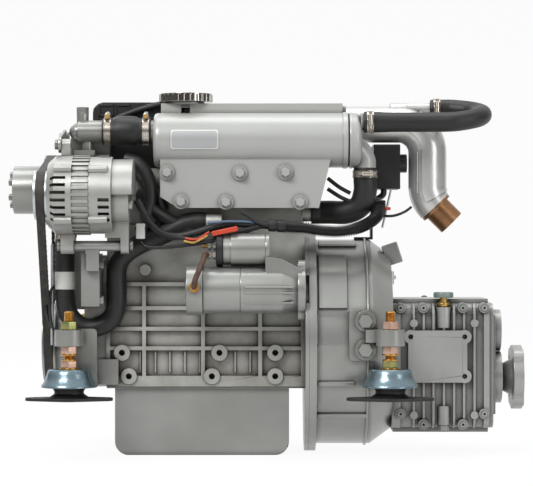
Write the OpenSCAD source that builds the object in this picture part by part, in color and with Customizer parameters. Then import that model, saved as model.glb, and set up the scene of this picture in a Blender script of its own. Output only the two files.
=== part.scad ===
/* Marine diesel engine with gearbox. X runs along the crankshaft towards the gearbox, Z up.
   The origin is the centre of the outer face of the output coupling flange. */

/* [Crank line] */
// Height of the crank axis above the output shaft axis
crank_h = 58.3; // [54:0.1:62]
// Cylinder bore
bore_d = 76; // [70:0.5:77]
// Piston stroke
stroke = 78; // [70:1:79]
// Distance between cylinder centres
bore_pitch = 90; // [90:0.5:91]
// Radius of the main journals
main_r = 24; // [20:0.5:26]
// Radius of the crank pins
pin_r = 20; // [16:0.5:22]
// Reach of the crank webs from the crank axis
web_reach = 62; // [61:0.5:64]
// Thickness of one crank web
web_t = 12; // [9:0.5:13]
// Length of one crank pin
pin_len = 28; // [24:1:30]
// Height of a piston
piston_h = 46; // [40:1:46]
// Radial clearance of running shafts and pistons
run_fit = 0.06; // [0.02:0.01:0.1]
// Clearance between pieces that must not touch
gap = 0.3; // [0.2:0.05:0.5]

/* [Block] */
// Length of the block
block_len = 316; // [314:1:320]
// Width of the block over its ribs
block_w = 190; // [186:1:192]
// Height of the ribs on the block walls
rib_h = 9; // [6:0.5:10]
// Width of a rib
rib_w = 6; // [4:0.5:8]
// Height of the block deck above the output shaft axis
deck_z = 248; // [246:1:250]
// Depth of the pan rail below the output shaft axis
rail_drop = 10; // [8:0.5:12]
// Height of the pan rail
rail_h = 17; // [12:0.5:20]
// Radius of the crank chamber
chamber_r = 68; // [67:0.5:70]
// Thickness of the walls between crank chambers
bulkhead_t = 12; // [10:0.5:12]
// Thickness of the front and rear walls
end_wall = 14; // [12:0.5:15]
// Half width of a main bearing cap
cap_hw = 38; // [34:0.5:40]
// Radius of the drilled bosses on the block sides
boss_r = 12.7; // [11:0.1:13]
// Radius of the holes in the bosses
boss_hole_r = 4.8; // [4:0.1:5.5]
// Depth of the boss holes
boss_hole_d = 22; // [16:1:22]
// Radius of the core plug
core_plug_r = 9; // [7:0.5:10]

/* [Camshaft] */
// Distance of the camshaft to the side of the crank axis
cam_y = 66; // [65:0.5:67]
// Height of the camshaft above the crank axis
cam_dz = 61.2; // [61:0.1:64]
// Radius of the camshaft tunnel
cam_r = 18; // [16:0.5:18]
// Width of the timing gears
gear_w = 14; // [10:1:18]

/* [Pan] */
// Depth of the pan floor below the output shaft axis
floor_drop = 120; // [118:1:120]
// Distance from the block front to the pan front
pan_front = 13; // [10:1:20]
// Distance from the block rear to the pan rear
pan_rear = 25; // [20:1:40]
// Width of the pan
pan_w = 170; // [150:1:176]
// Corner radius of the pan
pan_r = 22; // [12:1:30]
// Sheet thickness of the pan
pan_t = 3; // [2:0.5:4]

/* [Head and covers] */
// Height of the cylinder head
head_h = 90; // [84:1:92]
// Width of the cylinder head
head_w = 150; // [140:1:156]
// Setback of the head from the block ends
head_inset = 3; // [2:0.5:6]
// Height of the tall front part of the rocker cover
cover_h = 109; // [104:1:112]
// Height of the low rear part of the rocker cover
cover_low = 84; // [80:1:90]
// Length of the tall front part of the rocker cover
cover_tall_len = 150; // [130:1:170]
// Reach of the rocker cover past the block front
cover_over = 27; // [20:1:30]
// Width of the rocker cover
cover_w = 82; // [76:1:84]
// Corner radius of the rocker cover
cover_r = 18; // [10:1:22]
// Depth of the timing cover
timing_d = 35; // [33:1:38]
// Wall of the timing cover
timing_t = 5; // [4:0.5:6]
// Height of the timing cover top above the crank axis
timing_up = 141; // [136:1:144]

/* [Bell housing] */
// Radius of the bell housing flange
flange_r = 178; // [176:0.1:178.2]
// Thickness of the rear plate
plate_t = 6; // [5:0.5:8]
// Thickness of the bell flange
bell_flange_t = 12; // [10:0.5:14]
// Outer radius of the bell wall
bell_r = 166; // [164:0.5:168]
// Outer radius of the bell at its rear end
bell_rear_r = 142; // [138:1:146]
// Wall of the bell housing
bell_t = 7; // [6:0.5:7.5]
// Length of the straight part of the bell
bell_len = 88; // [84:1:92]
// Length of the tapered part of the bell
bell_taper = 33; // [30:1:36]
// Radius of the flywheel disc
flywheel_r = 136; // [128:1:138]
// Thickness of the flywheel
flywheel_t = 26; // [22:1:30]
// Tip radius of the ring gear
ring_r = 149; // [146:0.5:151]
// Teeth on the ring gear
ring_teeth = 104; // [90:1:118]

/* [Gearbox] */
// Distance from the coupling face to the rear of the gearbox case
box_rear = 60; // [58:1:62]
// Length of the gearbox case
box_len = 153; // [150:1:155]
// Top of the gearbox above the output shaft axis
box_up = 122; // [118:1:126]
// Bottom of the gearbox below the output shaft axis
box_down = 78; // [74:1:82]
// Width of the gearbox case over its ribs
box_w = 172; // [166:1:176]
// Radius of the output coupling flange
coupling_r = 59; // [57:0.5:60]
// Thickness of the output coupling flange
coupling_t = 16.5; // [14:0.5:18]
// Pitch circle diameter of the coupling bolts
coupling_pcd = 82.5; // [80:0.5:86]
// Radius of the coupling bolt holes
coupling_hole_r = 5.3; // [4.5:0.1:6]
// Radius of the output shaft
out_r = 17.5; // [15:0.5:19]

/* [Exchanger] */
// Radius of the exchanger tank
tank_r = 43.5; // [42:0.5:44]
// Height of the tank axis above the output shaft axis
tank_z = 382; // [380:1:383]
// Distance of the tank axis to the near side
tank_y = 95; // [94:1:97]
// Distance from the block front to the front of the tank
tank_set = 87; // [86:0.5:88]
// Distance from the block rear to the rear of the tank
tank_out = 60; // [58:0.5:61]
// Bore of the tank for its tube stack, as a radius
stack_r = 36; // [33:0.5:37]
// Width of the flat ledge behind the tank
ledge_w = 60; // [54:1:62]
// Height of the ledge above the tank axis
ledge_up = 59; // [57:0.5:60]
// Depth of the manifold below the tank axis
manifold_drop = 108; // [104:1:110]
// Distance of the manifold face from the centreline
manifold_y = 125; // [123:1:127]
// Length of the front end cap
front_cap_len = 11; // [9:0.5:14]
// Length of the rear end cap
rear_cap_len = 30; // [27:1:32]
// Radius of the pressure cap
cap_r = 43; // [38:0.5:44]
// Height of the pressure cap
cap_h = 13; // [10:0.5:14]

/* [Exhaust] */
// Outer radius of the exhaust elbow
elbow_r = 29.5; // [28:0.5:30]
// Bend radius of the exhaust elbow
elbow_bend = 46; // [42:1:48]
// Wall between the elbow surface and the gas passage
elbow_wall = 5; // [4:0.5:6]
// Height of the elbow run above the output shaft axis
elbow_z = 411; // [409:1:413]
// Distance of the elbow to the near side
elbow_y = 20; // [18:1:22]
// Distance from the block rear to the straight drop of the elbow
elbow_back = 199; // [197:1:201]
// Length of the straight drop
elbow_drop_len = 54; // [50:1:58]
// Outer radius of the bronze outlet
outlet_r = 22.4; // [21:0.1:23]
// Visible length of the bronze outlet
outlet_len = 38; // [34:1:42]
// Wall of the bronze outlet
outlet_wall = 2.5; // [2:0.25:3]
// Angle of the outlet below level
outlet_angle = 45; // [40:1:50]

/* [Belt drive] */
// Distance from the block front to the middle of the belt
belt_lead = 95; // [94:0.5:96]
// Width of the belt
belt_w = 13; // [11:0.5:14]
// Thickness of the belt
belt_t = 9; // [7:0.5:10]
// Outer radius of the crank pulley
crank_pulley_r = 70; // [66:1:74]
// Outer radius of the pump pulley
pump_pulley_r = 57; // [54:1:58]
// Outer radius of the alternator pulley
alt_pulley_r = 38.5; // [36:0.5:40]
// Height of the pump axis above the output shaft axis
pump_z = 305; // [304:1:306]
// Radius of the drum in front of the pump pulley
drum_r = 39; // [36:0.5:41]
// Length of the drum
drum_len = 51; // [46:1:52]

/* [Alternator] */
// Distance of the alternator axis to the near side
alt_y = 170; // [169:1:171]
// Height of the alternator axis above the output shaft axis
alt_z = 293; // [292:1:294]
// Outer radius of the alternator
alt_r = 62; // [60:0.5:63]
// Distance from the block front to the alternator front face
alt_lead = 84; // [83:1:85]
// Length of the front housing
alt_front_len = 39; // [36:1:41]
// Length of the stator
stator_len = 26; // [22:1:30]
// Length of the rear housing
alt_rear_len = 35; // [32:1:38]
// Length of the rear cover
alt_cover_len = 32; // [28:1:34]
// Wall of the alternator housings
alt_wall = 6; // [4:0.5:7]

/* [Starter] */
// Distance of the starter axis to the near side
starter_y = 150; // [149:0.5:151]
// Height of the starter axis above the output shaft axis
starter_z = 145; // [144:0.5:146]
// Radius of the starter end cap
starter_r = 41; // [39:0.5:42]
// Radius of the starter body
starter_body_r = 37; // [36:0.5:38]
// Length of the starter body with its end cap
starter_len = 84; // [80:1:88]
// Length of the drive housing
drive_len = 102; // [98:1:104]
// Radius of the solenoid
solenoid_r = 26; // [25:0.5:26]
// Height of the solenoid axis above the starter axis
solenoid_dz = 63.5; // [63.5:0.5:65]

/* [Feet] */
// Distance of the feet from the centreline
foot_y = 190; // [188:1:192]
// Distance from the block front to the front feet
foot_lead = 51; // [49:1:53]
// Distance from the block rear to the rear feet
foot_back = 131; // [129:1:133]
// Radius of the foot studs
stud_r = 8; // [7:0.5:8]
// Top of the studs above the output shaft axis
stud_top = 113; // [110:1:116]
// Top of the lugs above the output shaft axis
lug_top = 84; // [82:1:86]
// Thickness of the lugs
lug_t = 25; // [20:1:26]
// Outer radius of the lugs
lug_r = 22.5; // [20:0.5:24]
// Top of the cups above the output shaft axis
cup_top = 23; // [21:1:25]
// Height of the cups
cup_h = 28; // [24:1:30]
// Radius of a cup at its top
cup_r0 = 33; // [30:0.5:35]
// Radius of a cup at its rim
cup_r1 = 43.4; // [40:0.2:45]
// Depth of the base plates below the output shaft axis
base_drop = 26; // [25:0.5:28]
// Thickness of the base plates
base_t = 5; // [4:0.5:6]
// Half length of a base plate
base_half = 68; // [64:1:72]
// Distance between the two holes of a base plate
base_holes = 100; // [96:1:104]
// Radius of the base plate holes
base_hole_r = 5.5; // [4.5:0.5:6]

/* [Hidden] */
$fn = 48;
// Overrun of cuts past a face
over = 1;
// Level of the lowest faces
floor_z = -floor_drop;
// The bell and the gearbox set how far the block lies from the coupling face
box_step = 3;
block_x1 = -box_rear - box_len - box_step - bell_taper - bell_len - bell_flange_t - plate_t;
block_x0 = block_x1 - block_len;
block_mid = (block_x0 + block_x1) / 2;
block_hw = block_w / 2;
rail_z = -rail_drop;
body_hw = block_hw - rib_h;
bore_xs = [block_mid - bore_pitch, block_mid, block_mid + bore_pitch];
wall_xs = [block_x0 + end_wall / 2, block_mid - bore_pitch / 2, block_mid + bore_pitch / 2,
    block_x1 - end_wall / 2];
wall_ts = [end_wall, bulkhead_t, bulkhead_t, end_wall];
cam_z = crank_h + cam_dz;
mirrored = [-1, 1];
belt_x = belt_lead - block_x0;
foot_front = foot_lead - block_x0;
foot_rear = -block_x1 - foot_back;
elbow_drop_x = -block_x1 - elbow_back;

// Straight helpers along each axis
module box(x0, x1, y0, y1, z0, z1) translate([x0, y0, z0]) cube([x1 - x0, y1 - y0, z1 - z0]);
module xcyl(x0, x1, y, z, r) translate([x0, y, z]) rotate([0, 90, 0]) cylinder(r = r, h = x1 - x0);
module xcone(x0, x1, y, z, r0, r1)
    translate([x0, y, z]) rotate([0, 90, 0]) cylinder(r1 = r0, r2 = r1, h = x1 - x0);
module ycyl(y0, y1, x, z, r) translate([x, y0, z]) rotate([-90, 0, 0]) cylinder(r = r, h = y1 - y0);
module zcyl(z0, z1, x, y, r) translate([x, y, z0]) cylinder(r = r, h = z1 - z0);
// Hexagons given by their width across flats
module xhex(x0, x1, y, z, af)
    translate([x0, y, z]) rotate([0, 90, 0]) cylinder(r = af / sqrt(3), h = x1 - x0, $fn = 6);
module yhex(y0, y1, x, z, af)
    translate([x, y0, z]) rotate([-90, 0, 0]) cylinder(r = af / sqrt(3), h = y1 - y0, $fn = 6);
module zhex(z0, z1, x, y, af) translate([x, y, z0]) cylinder(r = af / sqrt(3), h = z1 - z0, $fn = 6);
// Flat outline with rounded corners, centred
module rounded_outline(w, h, r) {
    square([w - 2 * r, h], center = true);
    square([w, h - 2 * r], center = true);
    for (sx = mirrored, sy = mirrored)
        translate([sx * (w / 2 - r), sy * (h / 2 - r)]) circle(r = r);
}
// Rounded blocks pressed out along Y or X, given by their corners
module yblock(x0, x1, y0, y1, z0, z1, r)
    translate([(x0 + x1) / 2, y1, (z0 + z1) / 2]) rotate([90, 0, 0])
        linear_extrude(height = y1 - y0) rounded_outline(x1 - x0, z1 - z0, r);
module xblock(x0, x1, y0, y1, z0, z1, r)
    translate([x0, (y0 + y1) / 2, (z0 + z1) / 2]) rotate([90, 0, 90])
        linear_extrude(height = x1 - x0) rounded_outline(y1 - y0, z1 - z0, r);
module zblock(x0, x1, y0, y1, z0, z1, r)
    translate([(x0 + x1) / 2, (y0 + y1) / 2, z0])
        linear_extrude(height = z1 - z0) rounded_outline(x1 - x0, y1 - y0, r);

// Smooth route through hand-chosen points, and a tube swept along it
function blend(a, b, c, d, t) = 0.5 * (2 * b + (c - a) * t + (2 * a - 5 * b + 4 * c - d) * t * t
    + (3 * b - a - 3 * c + d) * t * t * t);
function route(p, n) = [for (i = [0 : len(p) - 2], k = [0 : n - 1])
    blend(p[max(i - 1, 0)], p[i], p[i + 1], p[min(i + 2, len(p) - 1)], k / n), p[len(p) - 1]];
function unit(v) = v / norm(v);
function heading(p, i) = unit(p[min(i + 1, len(p) - 1)] - p[max(i - 1, 0)]);
function ring(c, t, up, r, n) = let (u = unit(cross(t, up)), v = cross(u, t))
    [for (k = [0 : n - 1]) c + r * (cos(360 * k / n) * u + sin(360 * k / n) * v)];
// One solid tube: path, radius at each ring, reference direction, sides
module tube(p, r, up, n) {
    last = len(p) - 1;
    points = [for (i = [0 : last]) each ring(p[i], heading(p, i), up, is_list(r) ? r[i] : r, n)];
    sides = [for (i = [0 : last - 1], k = [0 : n - 1]) each
        [[i * n + k, i * n + (k + 1) % n, (i + 1) * n + (k + 1) % n],
         [i * n + k, (i + 1) * n + (k + 1) % n, (i + 1) * n + k]]];
    ends = [[for (k = [n - 1 : -1 : 0]) k], [for (k = [0 : n - 1]) last * n + k]];
    polyhedron(points = points, faces = concat(sides, ends));
}

// Sizes of block details
boss_shares = [[0.079, 0.209], [0.57, 0.209], [0.851, 0.209], [0.114, 0.064], [0.532, 0.064], [0.851, 0.064]];
rib_shares = [0.236, 0.357, 0.484, 0.632];
rib_x_shares = [0.19, 0.487, 0.775];
core_shares = [0.196, 0.72];
block_h = deck_z + rail_drop;
boss_places = [for (s = boss_shares) [s[0] * block_len, rail_z + s[1] * block_h]];
rib_heights = [for (s = rib_shares) rail_z + s * block_h];
rib_places = [for (s = rib_x_shares) s * block_len];
core_place = [core_shares[0] * block_len, rail_z + core_shares[1] * block_h];
boss_out = 4;
jacket_step = 6;

module block_ribs() {
    for (z = rib_heights) box(block_x0, block_x1, -block_hw, block_hw, z - rib_w / 2, z + rib_w / 2);
    for (x = rib_places) box(block_x0 + x - rib_w / 2, block_x0 + x + rib_w / 2, -block_hw, block_hw,
        rail_z + rail_h / 2, rib_heights[3]);
    for (x = [block_x0 + rib_w / 2, block_x1 - rib_w / 2])
        box(x - rib_w / 2, x + rib_w / 2, -block_hw, block_hw, rail_z + rail_h / 2, rib_heights[3]);
}

module engine_block() color("#8f8f8a") difference() {
    union() {
        box(block_x0, block_x1, -body_hw, body_hw, rail_z, rib_heights[3]);
        box(block_x0, block_x1, jacket_step - body_hw, body_hw - jacket_step,
            rib_heights[3] - over, deck_z);
        box(block_x0, block_x1, -block_hw, block_hw, rail_z, rail_z + rail_h);
        block_ribs();
        for (side = mirrored, p = boss_places)
            ycyl(side > 0 ? body_hw - over : -block_hw - boss_out,
                side > 0 ? block_hw + boss_out : over - body_hw, block_x0 + p[0], p[1], boss_r);
        ycyl(-block_hw, over - body_hw + jacket_step, block_x0 + core_place[0], core_place[1],
            core_plug_r);
    }
    for (side = mirrored, p = boss_places)
        ycyl(side > 0 ? block_hw + boss_out - boss_hole_d : -block_hw - boss_out - over,
            side > 0 ? block_hw + boss_out + over : boss_hole_d - block_hw - boss_out,
            block_x0 + p[0], p[1], boss_hole_r);
    for (x = bore_xs) zcyl(crank_h + main_r, deck_z + over, x, 0, bore_d / 2);
    for (i = [0 : 2]) {
        x0 = wall_xs[i] + wall_ts[i] / 2;
        x1 = wall_xs[i + 1] - wall_ts[i + 1] / 2;
        xcyl(x0, x1, 0, crank_h, chamber_r);
        box(x0, x1, -chamber_r, chamber_r, rail_z - over, crank_h);
    }
    for (i = [0 : 3]) box(wall_xs[i] - wall_ts[i] / 2 - over, wall_xs[i] + wall_ts[i] / 2 + over,
        -cap_hw, cap_hw, rail_z - over, crank_h);
    xcyl(block_x0 - over, block_x1 + over, 0, crank_h, main_r + run_fit);
    xcyl(block_x0 - over, block_x1 - end_wall, cam_y, cam_z, cam_r);
}

module main_caps() color("#7d7f80") difference() {
    for (i = [0 : 3]) box(wall_xs[i] - wall_ts[i] / 2, wall_xs[i] + wall_ts[i] / 2,
        -cap_hw, cap_hw, rail_z, crank_h);
    xcyl(block_x0 - over, block_x1 + over, 0, crank_h, main_r + run_fit);
}

// Head sizes
head_x0 = block_x0 + head_inset;
head_x1 = block_x1 - head_inset;
head_top = deck_z + head_h;
port_r = 14;
port_z = deck_z + head_h / 2;
port_reach = 62;
stub_len = 14;
down_end_z = 268;
down_end_y = 62;
down_end_r = 15;
glow_r = 5;
glow_up = 12;
inlet_shift = 1;
inlet_len = 25;
inlet_x0 = block_mid + inlet_shift;
inlet_x1 = inlet_x0 + inlet_len;
inlet_y = 108;
inlet_z = 252;
inlet_r = 14;
inlet_back = 13;
inlet_top = 262;

module cylinder_head() color("#8f8f8a") {
    difference() {
        union() {
            box(head_x0, head_x1, -head_w / 2, head_w / 2, deck_z, head_top);
            xcyl(head_x1 - over, head_x1 + stub_len, -down_end_y, down_end_z, down_end_r);
            for (x = bore_xs) ycyl(-head_w / 2 - glow_up, over - head_w / 2, x, port_z, port_r + glow_r);
            xcyl(inlet_x0, inlet_x1, -inlet_y, inlet_z, inlet_r);
            box(inlet_x1 - inlet_back, inlet_x1, -inlet_y, over - head_w / 2, deck_z + gap, inlet_top);
        }
        for (x = bore_xs) ycyl(-head_w / 2 - glow_up - over, -head_w / 2 + port_reach, x, port_z, port_r);
        for (x = bore_xs) ycyl(head_w / 2 - port_reach, head_w / 2 + over, x, port_z, port_r);
    }
}

// Rocker cover sizes
cover_x0 = block_x0 - cover_over;
cover_mid = cover_x0 + cover_tall_len;
cover_x1 = head_x1 - head_inset;
cover_y0 = -26;
cover_y1 = cover_y0 + cover_w;
cover_top = head_top + cover_h;
filler_in = 44;
filler_x = cover_x1 - filler_in;
filler_r = 24;
filler_h = 14;

module rocker_cover() color("#1a1a1a") {
    yblock(cover_x0, cover_mid, cover_y0, cover_y1, head_top + stub_len, cover_top, cover_r);
    box(head_x0, cover_x1, cover_y0, cover_y1, head_top, head_top + cover_low - cover_r);
    yblock(cover_mid - cover_r * 2, cover_x1, cover_y0, cover_y1, head_top + stub_len,
        head_top + cover_low, cover_r / 2);
    zcyl(head_top + cover_low - over, head_top + cover_low + filler_h, filler_x,
        (cover_y0 + cover_y1) / 2, filler_r);
}

pan_x0 = block_x0 + pan_front;
pan_x1 = block_x1 - pan_rear;
module oil_pan() color("#a9aba8") {
    difference() {
        union() {
            yblock(pan_x0, pan_x1, -pan_w / 2, pan_w / 2, floor_z, rail_z, pan_r);
            box(pan_x0, pan_x1, -pan_w / 2, pan_w / 2, rail_z - pan_r, rail_z);
            box(block_x0, block_x1, -block_hw + rib_h / 2, block_hw - rib_h / 2, rail_z - pan_t, rail_z);
        }
        yblock(pan_x0 + pan_t, pan_x1 - pan_t, pan_t - pan_w / 2, pan_w / 2 - pan_t, floor_z + pan_t,
            rail_z + pan_r, pan_r - pan_t);
        for (i = [0, 3]) box(wall_xs[i] - wall_ts[i], wall_xs[i] + wall_ts[i], -over, 0, -over, 0);
    }
}

// Timing cover sizes
timing_x0 = block_x0 - timing_d;
timing_hw = body_hw + 4;
timing_top = crank_h + timing_up;
nose_r = 16;
timing_clear = 2;
module timing_cover() color("#9b9c98") difference() {
    union() {
        xblock(timing_x0, block_x0, -timing_hw, timing_hw, rail_z, timing_top, cover_r);
        xcyl(timing_x0, block_x0, cam_y, cam_z, cam_gear_r + timing_clear + timing_t);
    }
    xcyl(timing_x0 + timing_t, block_x0 - timing_t, cam_y, cam_z, cam_gear_r + timing_clear);
    xblock(timing_x0 + timing_t, block_x0 + over, timing_t - timing_hw, timing_hw - timing_t,
        rail_z + timing_t, timing_top - timing_t, cover_r - timing_t);
    xcyl(timing_x0 - over, block_x0, 0, crank_h, nose_r + run_fit);
}

// Bell housing sizes, measured back from the rear face of the block
plate_x1 = block_x1 + plate_t;
bell_x0 = plate_x1;
bell_x1 = bell_x0 + bell_flange_t;
bell_x2 = bell_x1 + bell_len;
bell_x3 = bell_x2 + bell_taper;
crank_flange_r = 40;
plate_hole_r = 62;
pinion_hole_r = 25;
pad_inset = 1;
pad_len = 55;
pad_x0 = bell_x1 + pad_inset;
pad_x1 = pad_x0 + pad_len;
pad_z0 = 37;
pad_z1 = 112;
pad_y = 160;
bell_window = 46;
flange_bolt_r = 5;
flange_bolt_pcr = flange_r - 8;
flange_bolts = 10;

module floor_trim(x0, x1) box(x0 - over, x1 + over, -flange_r, flange_r, floor_z - flange_r, floor_z);

module rear_plate() color("#8c8d88") difference() {
    xcyl(block_x1, plate_x1, 0, crank_h, flange_r);
    xcyl(block_x1 - over, plate_x1 + over, 0, crank_h, plate_hole_r);
    xcyl(block_x1 - over, plate_x1 + over, -starter_y, starter_z, pinion_hole_r);
    for (i = [0 : flange_bolts - 1]) translate([0, 0, crank_h])
        rotate([360 / flange_bolts * (i + 0.5), 0, 0]) xcyl(block_x1 - over, plate_x1 + over, 0,
            flange_bolt_pcr, flange_bolt_r);
    floor_trim(block_x1, plate_x1);
}

module bell_housing() color("#a3a5a2") difference() {
    union() {
        xcyl(bell_x0, bell_x1, 0, crank_h, flange_r);
        xcyl(bell_x1 - over, bell_x2, 0, crank_h, bell_r);
        xcone(bell_x2, bell_x3, 0, crank_h, bell_r, bell_rear_r);
        for (side = mirrored) box(pad_x0, pad_x1, side > 0 ? bell_window : -pad_y,
            side > 0 ? pad_y : -bell_window, pad_z0, pad_z1);
    }
    xcyl(bell_x0 - over, bell_x2, 0, crank_h, bell_r - bell_t);
    xcone(bell_x2 - over, bell_x3 - bell_t, 0, crank_h, bell_r - bell_t, bell_rear_r - bell_t);
    xcyl(bell_x2, bell_x3 + over, 0, crank_h, crank_flange_r);
    for (i = [0 : flange_bolts - 1]) translate([0, 0, crank_h])
        rotate([360 / flange_bolts * (i + 0.5), 0, 0]) xcyl(bell_x0 - over, bell_x1 + over, 0,
            flange_bolt_pcr, flange_bolt_r);
    floor_trim(bell_x0, bell_x3);
}

// Crank train
crank_x0 = -belt_x - belt_w;
crank_flange_t = 12;
crank_x1 = plate_x1 + crank_flange_t;
gear_x0 = timing_x0 + timing_t * 2;
crank_gear_r = 30;
crank_phases = [0, 120, 240];
gear_gap = 0.6;
journal_out = 6;

module throw(x, a) translate([0, 0, crank_h]) rotate([a, 0, 0]) {
    xcyl(x - pin_len / 2 - over, x + pin_len / 2 + over, 0, stroke / 2, pin_r);
    for (side = mirrored) {
        x0 = side > 0 ? x + pin_len / 2 : x - pin_len / 2 - web_t;
        xcyl(x0, x0 + web_t, 0, stroke / 2, web_reach - stroke / 2);
        xcyl(x0, x0 + web_t, 0, 0, main_r + journal_out);
        box(x0, x0 + web_t, pin_r - web_reach / 2 - pin_r / 2, web_reach / 2 - pin_r / 2, -web_reach / 2,
            stroke / 2);
        box(x0, x0 + web_t, -main_r * 1.5, main_r * 1.5, -web_reach * 0.75, 0);
    }
}

module crankshaft() color("#77797b") {
    xcyl(crank_x0, timing_x0 + timing_t, 0, crank_h, nose_r);
    xcyl(timing_x0 + timing_t - over, block_x0, 0, crank_h, nose_r);
    xcyl(gear_x0, gear_x0 + gear_w, 0, crank_h, crank_gear_r);
    for (i = [0 : 3]) {
        x0 = i == 0 ? block_x0 - over : bore_xs[i - 1] + pin_len / 2 + web_t - over;
        x1 = i == 3 ? block_x1 + over : bore_xs[i] - pin_len / 2 - web_t + over;
        xcyl(x0, x1, 0, crank_h, main_r);
    }
    for (i = [0 : 2]) throw(bore_xs[i], crank_phases[i]);
    xcyl(block_x1 + gap, crank_x1, 0, crank_h, crank_flange_r - gap * 4);
}

ring_tooth = 4;
ring_w = 12;
ring_x0 = crank_x1 + ring_tooth;
module flywheel() color("#6f7172") {
    difference() {
        xcyl(crank_x1, crank_x1 + flywheel_t, 0, crank_h, flywheel_r);
        xcyl(crank_x1 + flywheel_t / 2, crank_x1 + flywheel_t + over, 0, crank_h, plate_hole_r);
    }
    translate([ring_x0, 0, crank_h]) rotate([90, 0, 90]) linear_extrude(height = ring_w) difference() {
        polygon([for (i = [0 : ring_teeth - 1], k = [0 : 3])
            let (a = 360 / ring_teeth * (i + k / 4), r = ring_r - (k < 2 ? 0 : ring_tooth))
            [r * cos(a), r * sin(a)]]);
        circle(r = flywheel_r - over);
    }
}

// Camshaft with its gear
cam_gear_r = sqrt(cam_y * cam_y + cam_dz * cam_dz) - crank_gear_r - gear_gap;
cam_shaft_r = 10;
lobe_r = 11;
lobe_lift = 6;
lobe_w = 14;
lobe_gap = 26;
cam_x1 = block_x1 - end_wall - gap;
module camshaft() color("#77797b") {
    xcyl(gear_x0, gear_x0 + gear_w, cam_y, cam_z, cam_gear_r);
    xcyl(gear_x0, cam_x1, cam_y, cam_z, cam_shaft_r);
    for (x = [wall_xs[0], wall_xs[1], wall_xs[2], cam_x1 - end_wall / 2])
        xcyl(x - end_wall / 2, x + end_wall / 2, cam_y, cam_z, cam_r - run_fit);
    for (i = [0 : 2], side = mirrored) translate([0, cam_y, cam_z])
        rotate([crank_phases[i] + side * lobe_gap * 2, 0, 0])
            xcyl(bore_xs[i] + side * lobe_gap - lobe_w / 2, bore_xs[i] + side * lobe_gap + lobe_w / 2,
                0, lobe_lift, lobe_r);
}

// Pistons, each with two ring grooves and its pin
groove_w = 2.5;
groove_d = 3;
crown_t = 9;
wrist_r = 11;
wrist_up = 16;
rod_len = 110;
crown_clear = 0.5;
skirt_t = 8;
function crown_drop(a) = stroke / 2 + rod_len - stroke / 2 * cos(a)
    - sqrt(rod_len * rod_len - pow(stroke / 2 * sin(a), 2));
module piston(i) color("#b4b6b8") {
    top = deck_z - crown_clear - crown_drop(crank_phases[i]);
    difference() {
        zcyl(top - piston_h, top, bore_xs[i], 0, bore_d / 2 - run_fit);
        zcyl(top - piston_h - over, top - crown_t, bore_xs[i], 0, bore_d / 2 - skirt_t);
        for (k = [1 : 2]) difference() {
            zcyl(top - k * groove_w * 2, top - k * groove_w * 2 + groove_w, bore_xs[i], 0, bore_d / 2 + over);
            zcyl(top - piston_h, top, bore_xs[i], 0, bore_d / 2 - groove_d);
        }
        ycyl(-bore_d, bore_d, bore_xs[i], top - piston_h + wrist_up, wrist_r);
    }
    ycyl(skirt_t / 2 - bore_d / 2, bore_d / 2 - skirt_t / 2, bore_xs[i], top - piston_h + wrist_up,
        wrist_r - run_fit);
}
module piston_1() piston(0);
module piston_2() piston(1);
module piston_3() piston(2);

// Gearbox sizes
box_x1 = -box_rear;
box_x0 = box_x1 - box_len;
box_hw = box_w / 2;
box_rib_h = 7;
box_rib_w = 3.5;
box_wall = 8;
box_core = box_hw - box_rib_h;
box_joint_t = 14;
box_rear_t = 9;
box_corner = 20;
box_h = box_up + box_down;
side_rib_shares = [0.211, 0.314, 0.416, 0.525, 0.631, 0.735, 0.844];
bolt_shares = [[0.07, 0.965], [0.308, 0.965], [0.721, 0.965], [0.95, 0.965], [0.07, 0.12], [0.308, 0.035],
    [0.721, 0.035], [0.95, 0.12]];
stud_shares = [[0.211, 0.842], [0.844, 0.842], [0.211, 0.108], [0.844, 0.108]];
bolt_boss_r = 8.3;
function box_place(s) = [min(box_x0 + s[0] * box_len, box_x1 - bolt_boss_r - gap), s[1] * box_h - box_down];
bolt_boss_t = 3;
stud_boss_r = 6.4;
dip_x = box_x0 + box_len * 0.525;
dip_y = 73;
dip_boss_r = 13.5;
dip_boss_z0 = 83;
dip_boss_z1 = 116;
dip_pad = 9;
drain_y = 78;
drain_r = 10.5;
drain_z0 = -72;
drain_z1 = -42;
shaft_gap = 0.06;
lever_x = box_x0 + box_len * 0.4;
lever_z = box_up * 0.5;
lever_shaft_r = 8;
lever_boss_r = 14.5;
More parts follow.
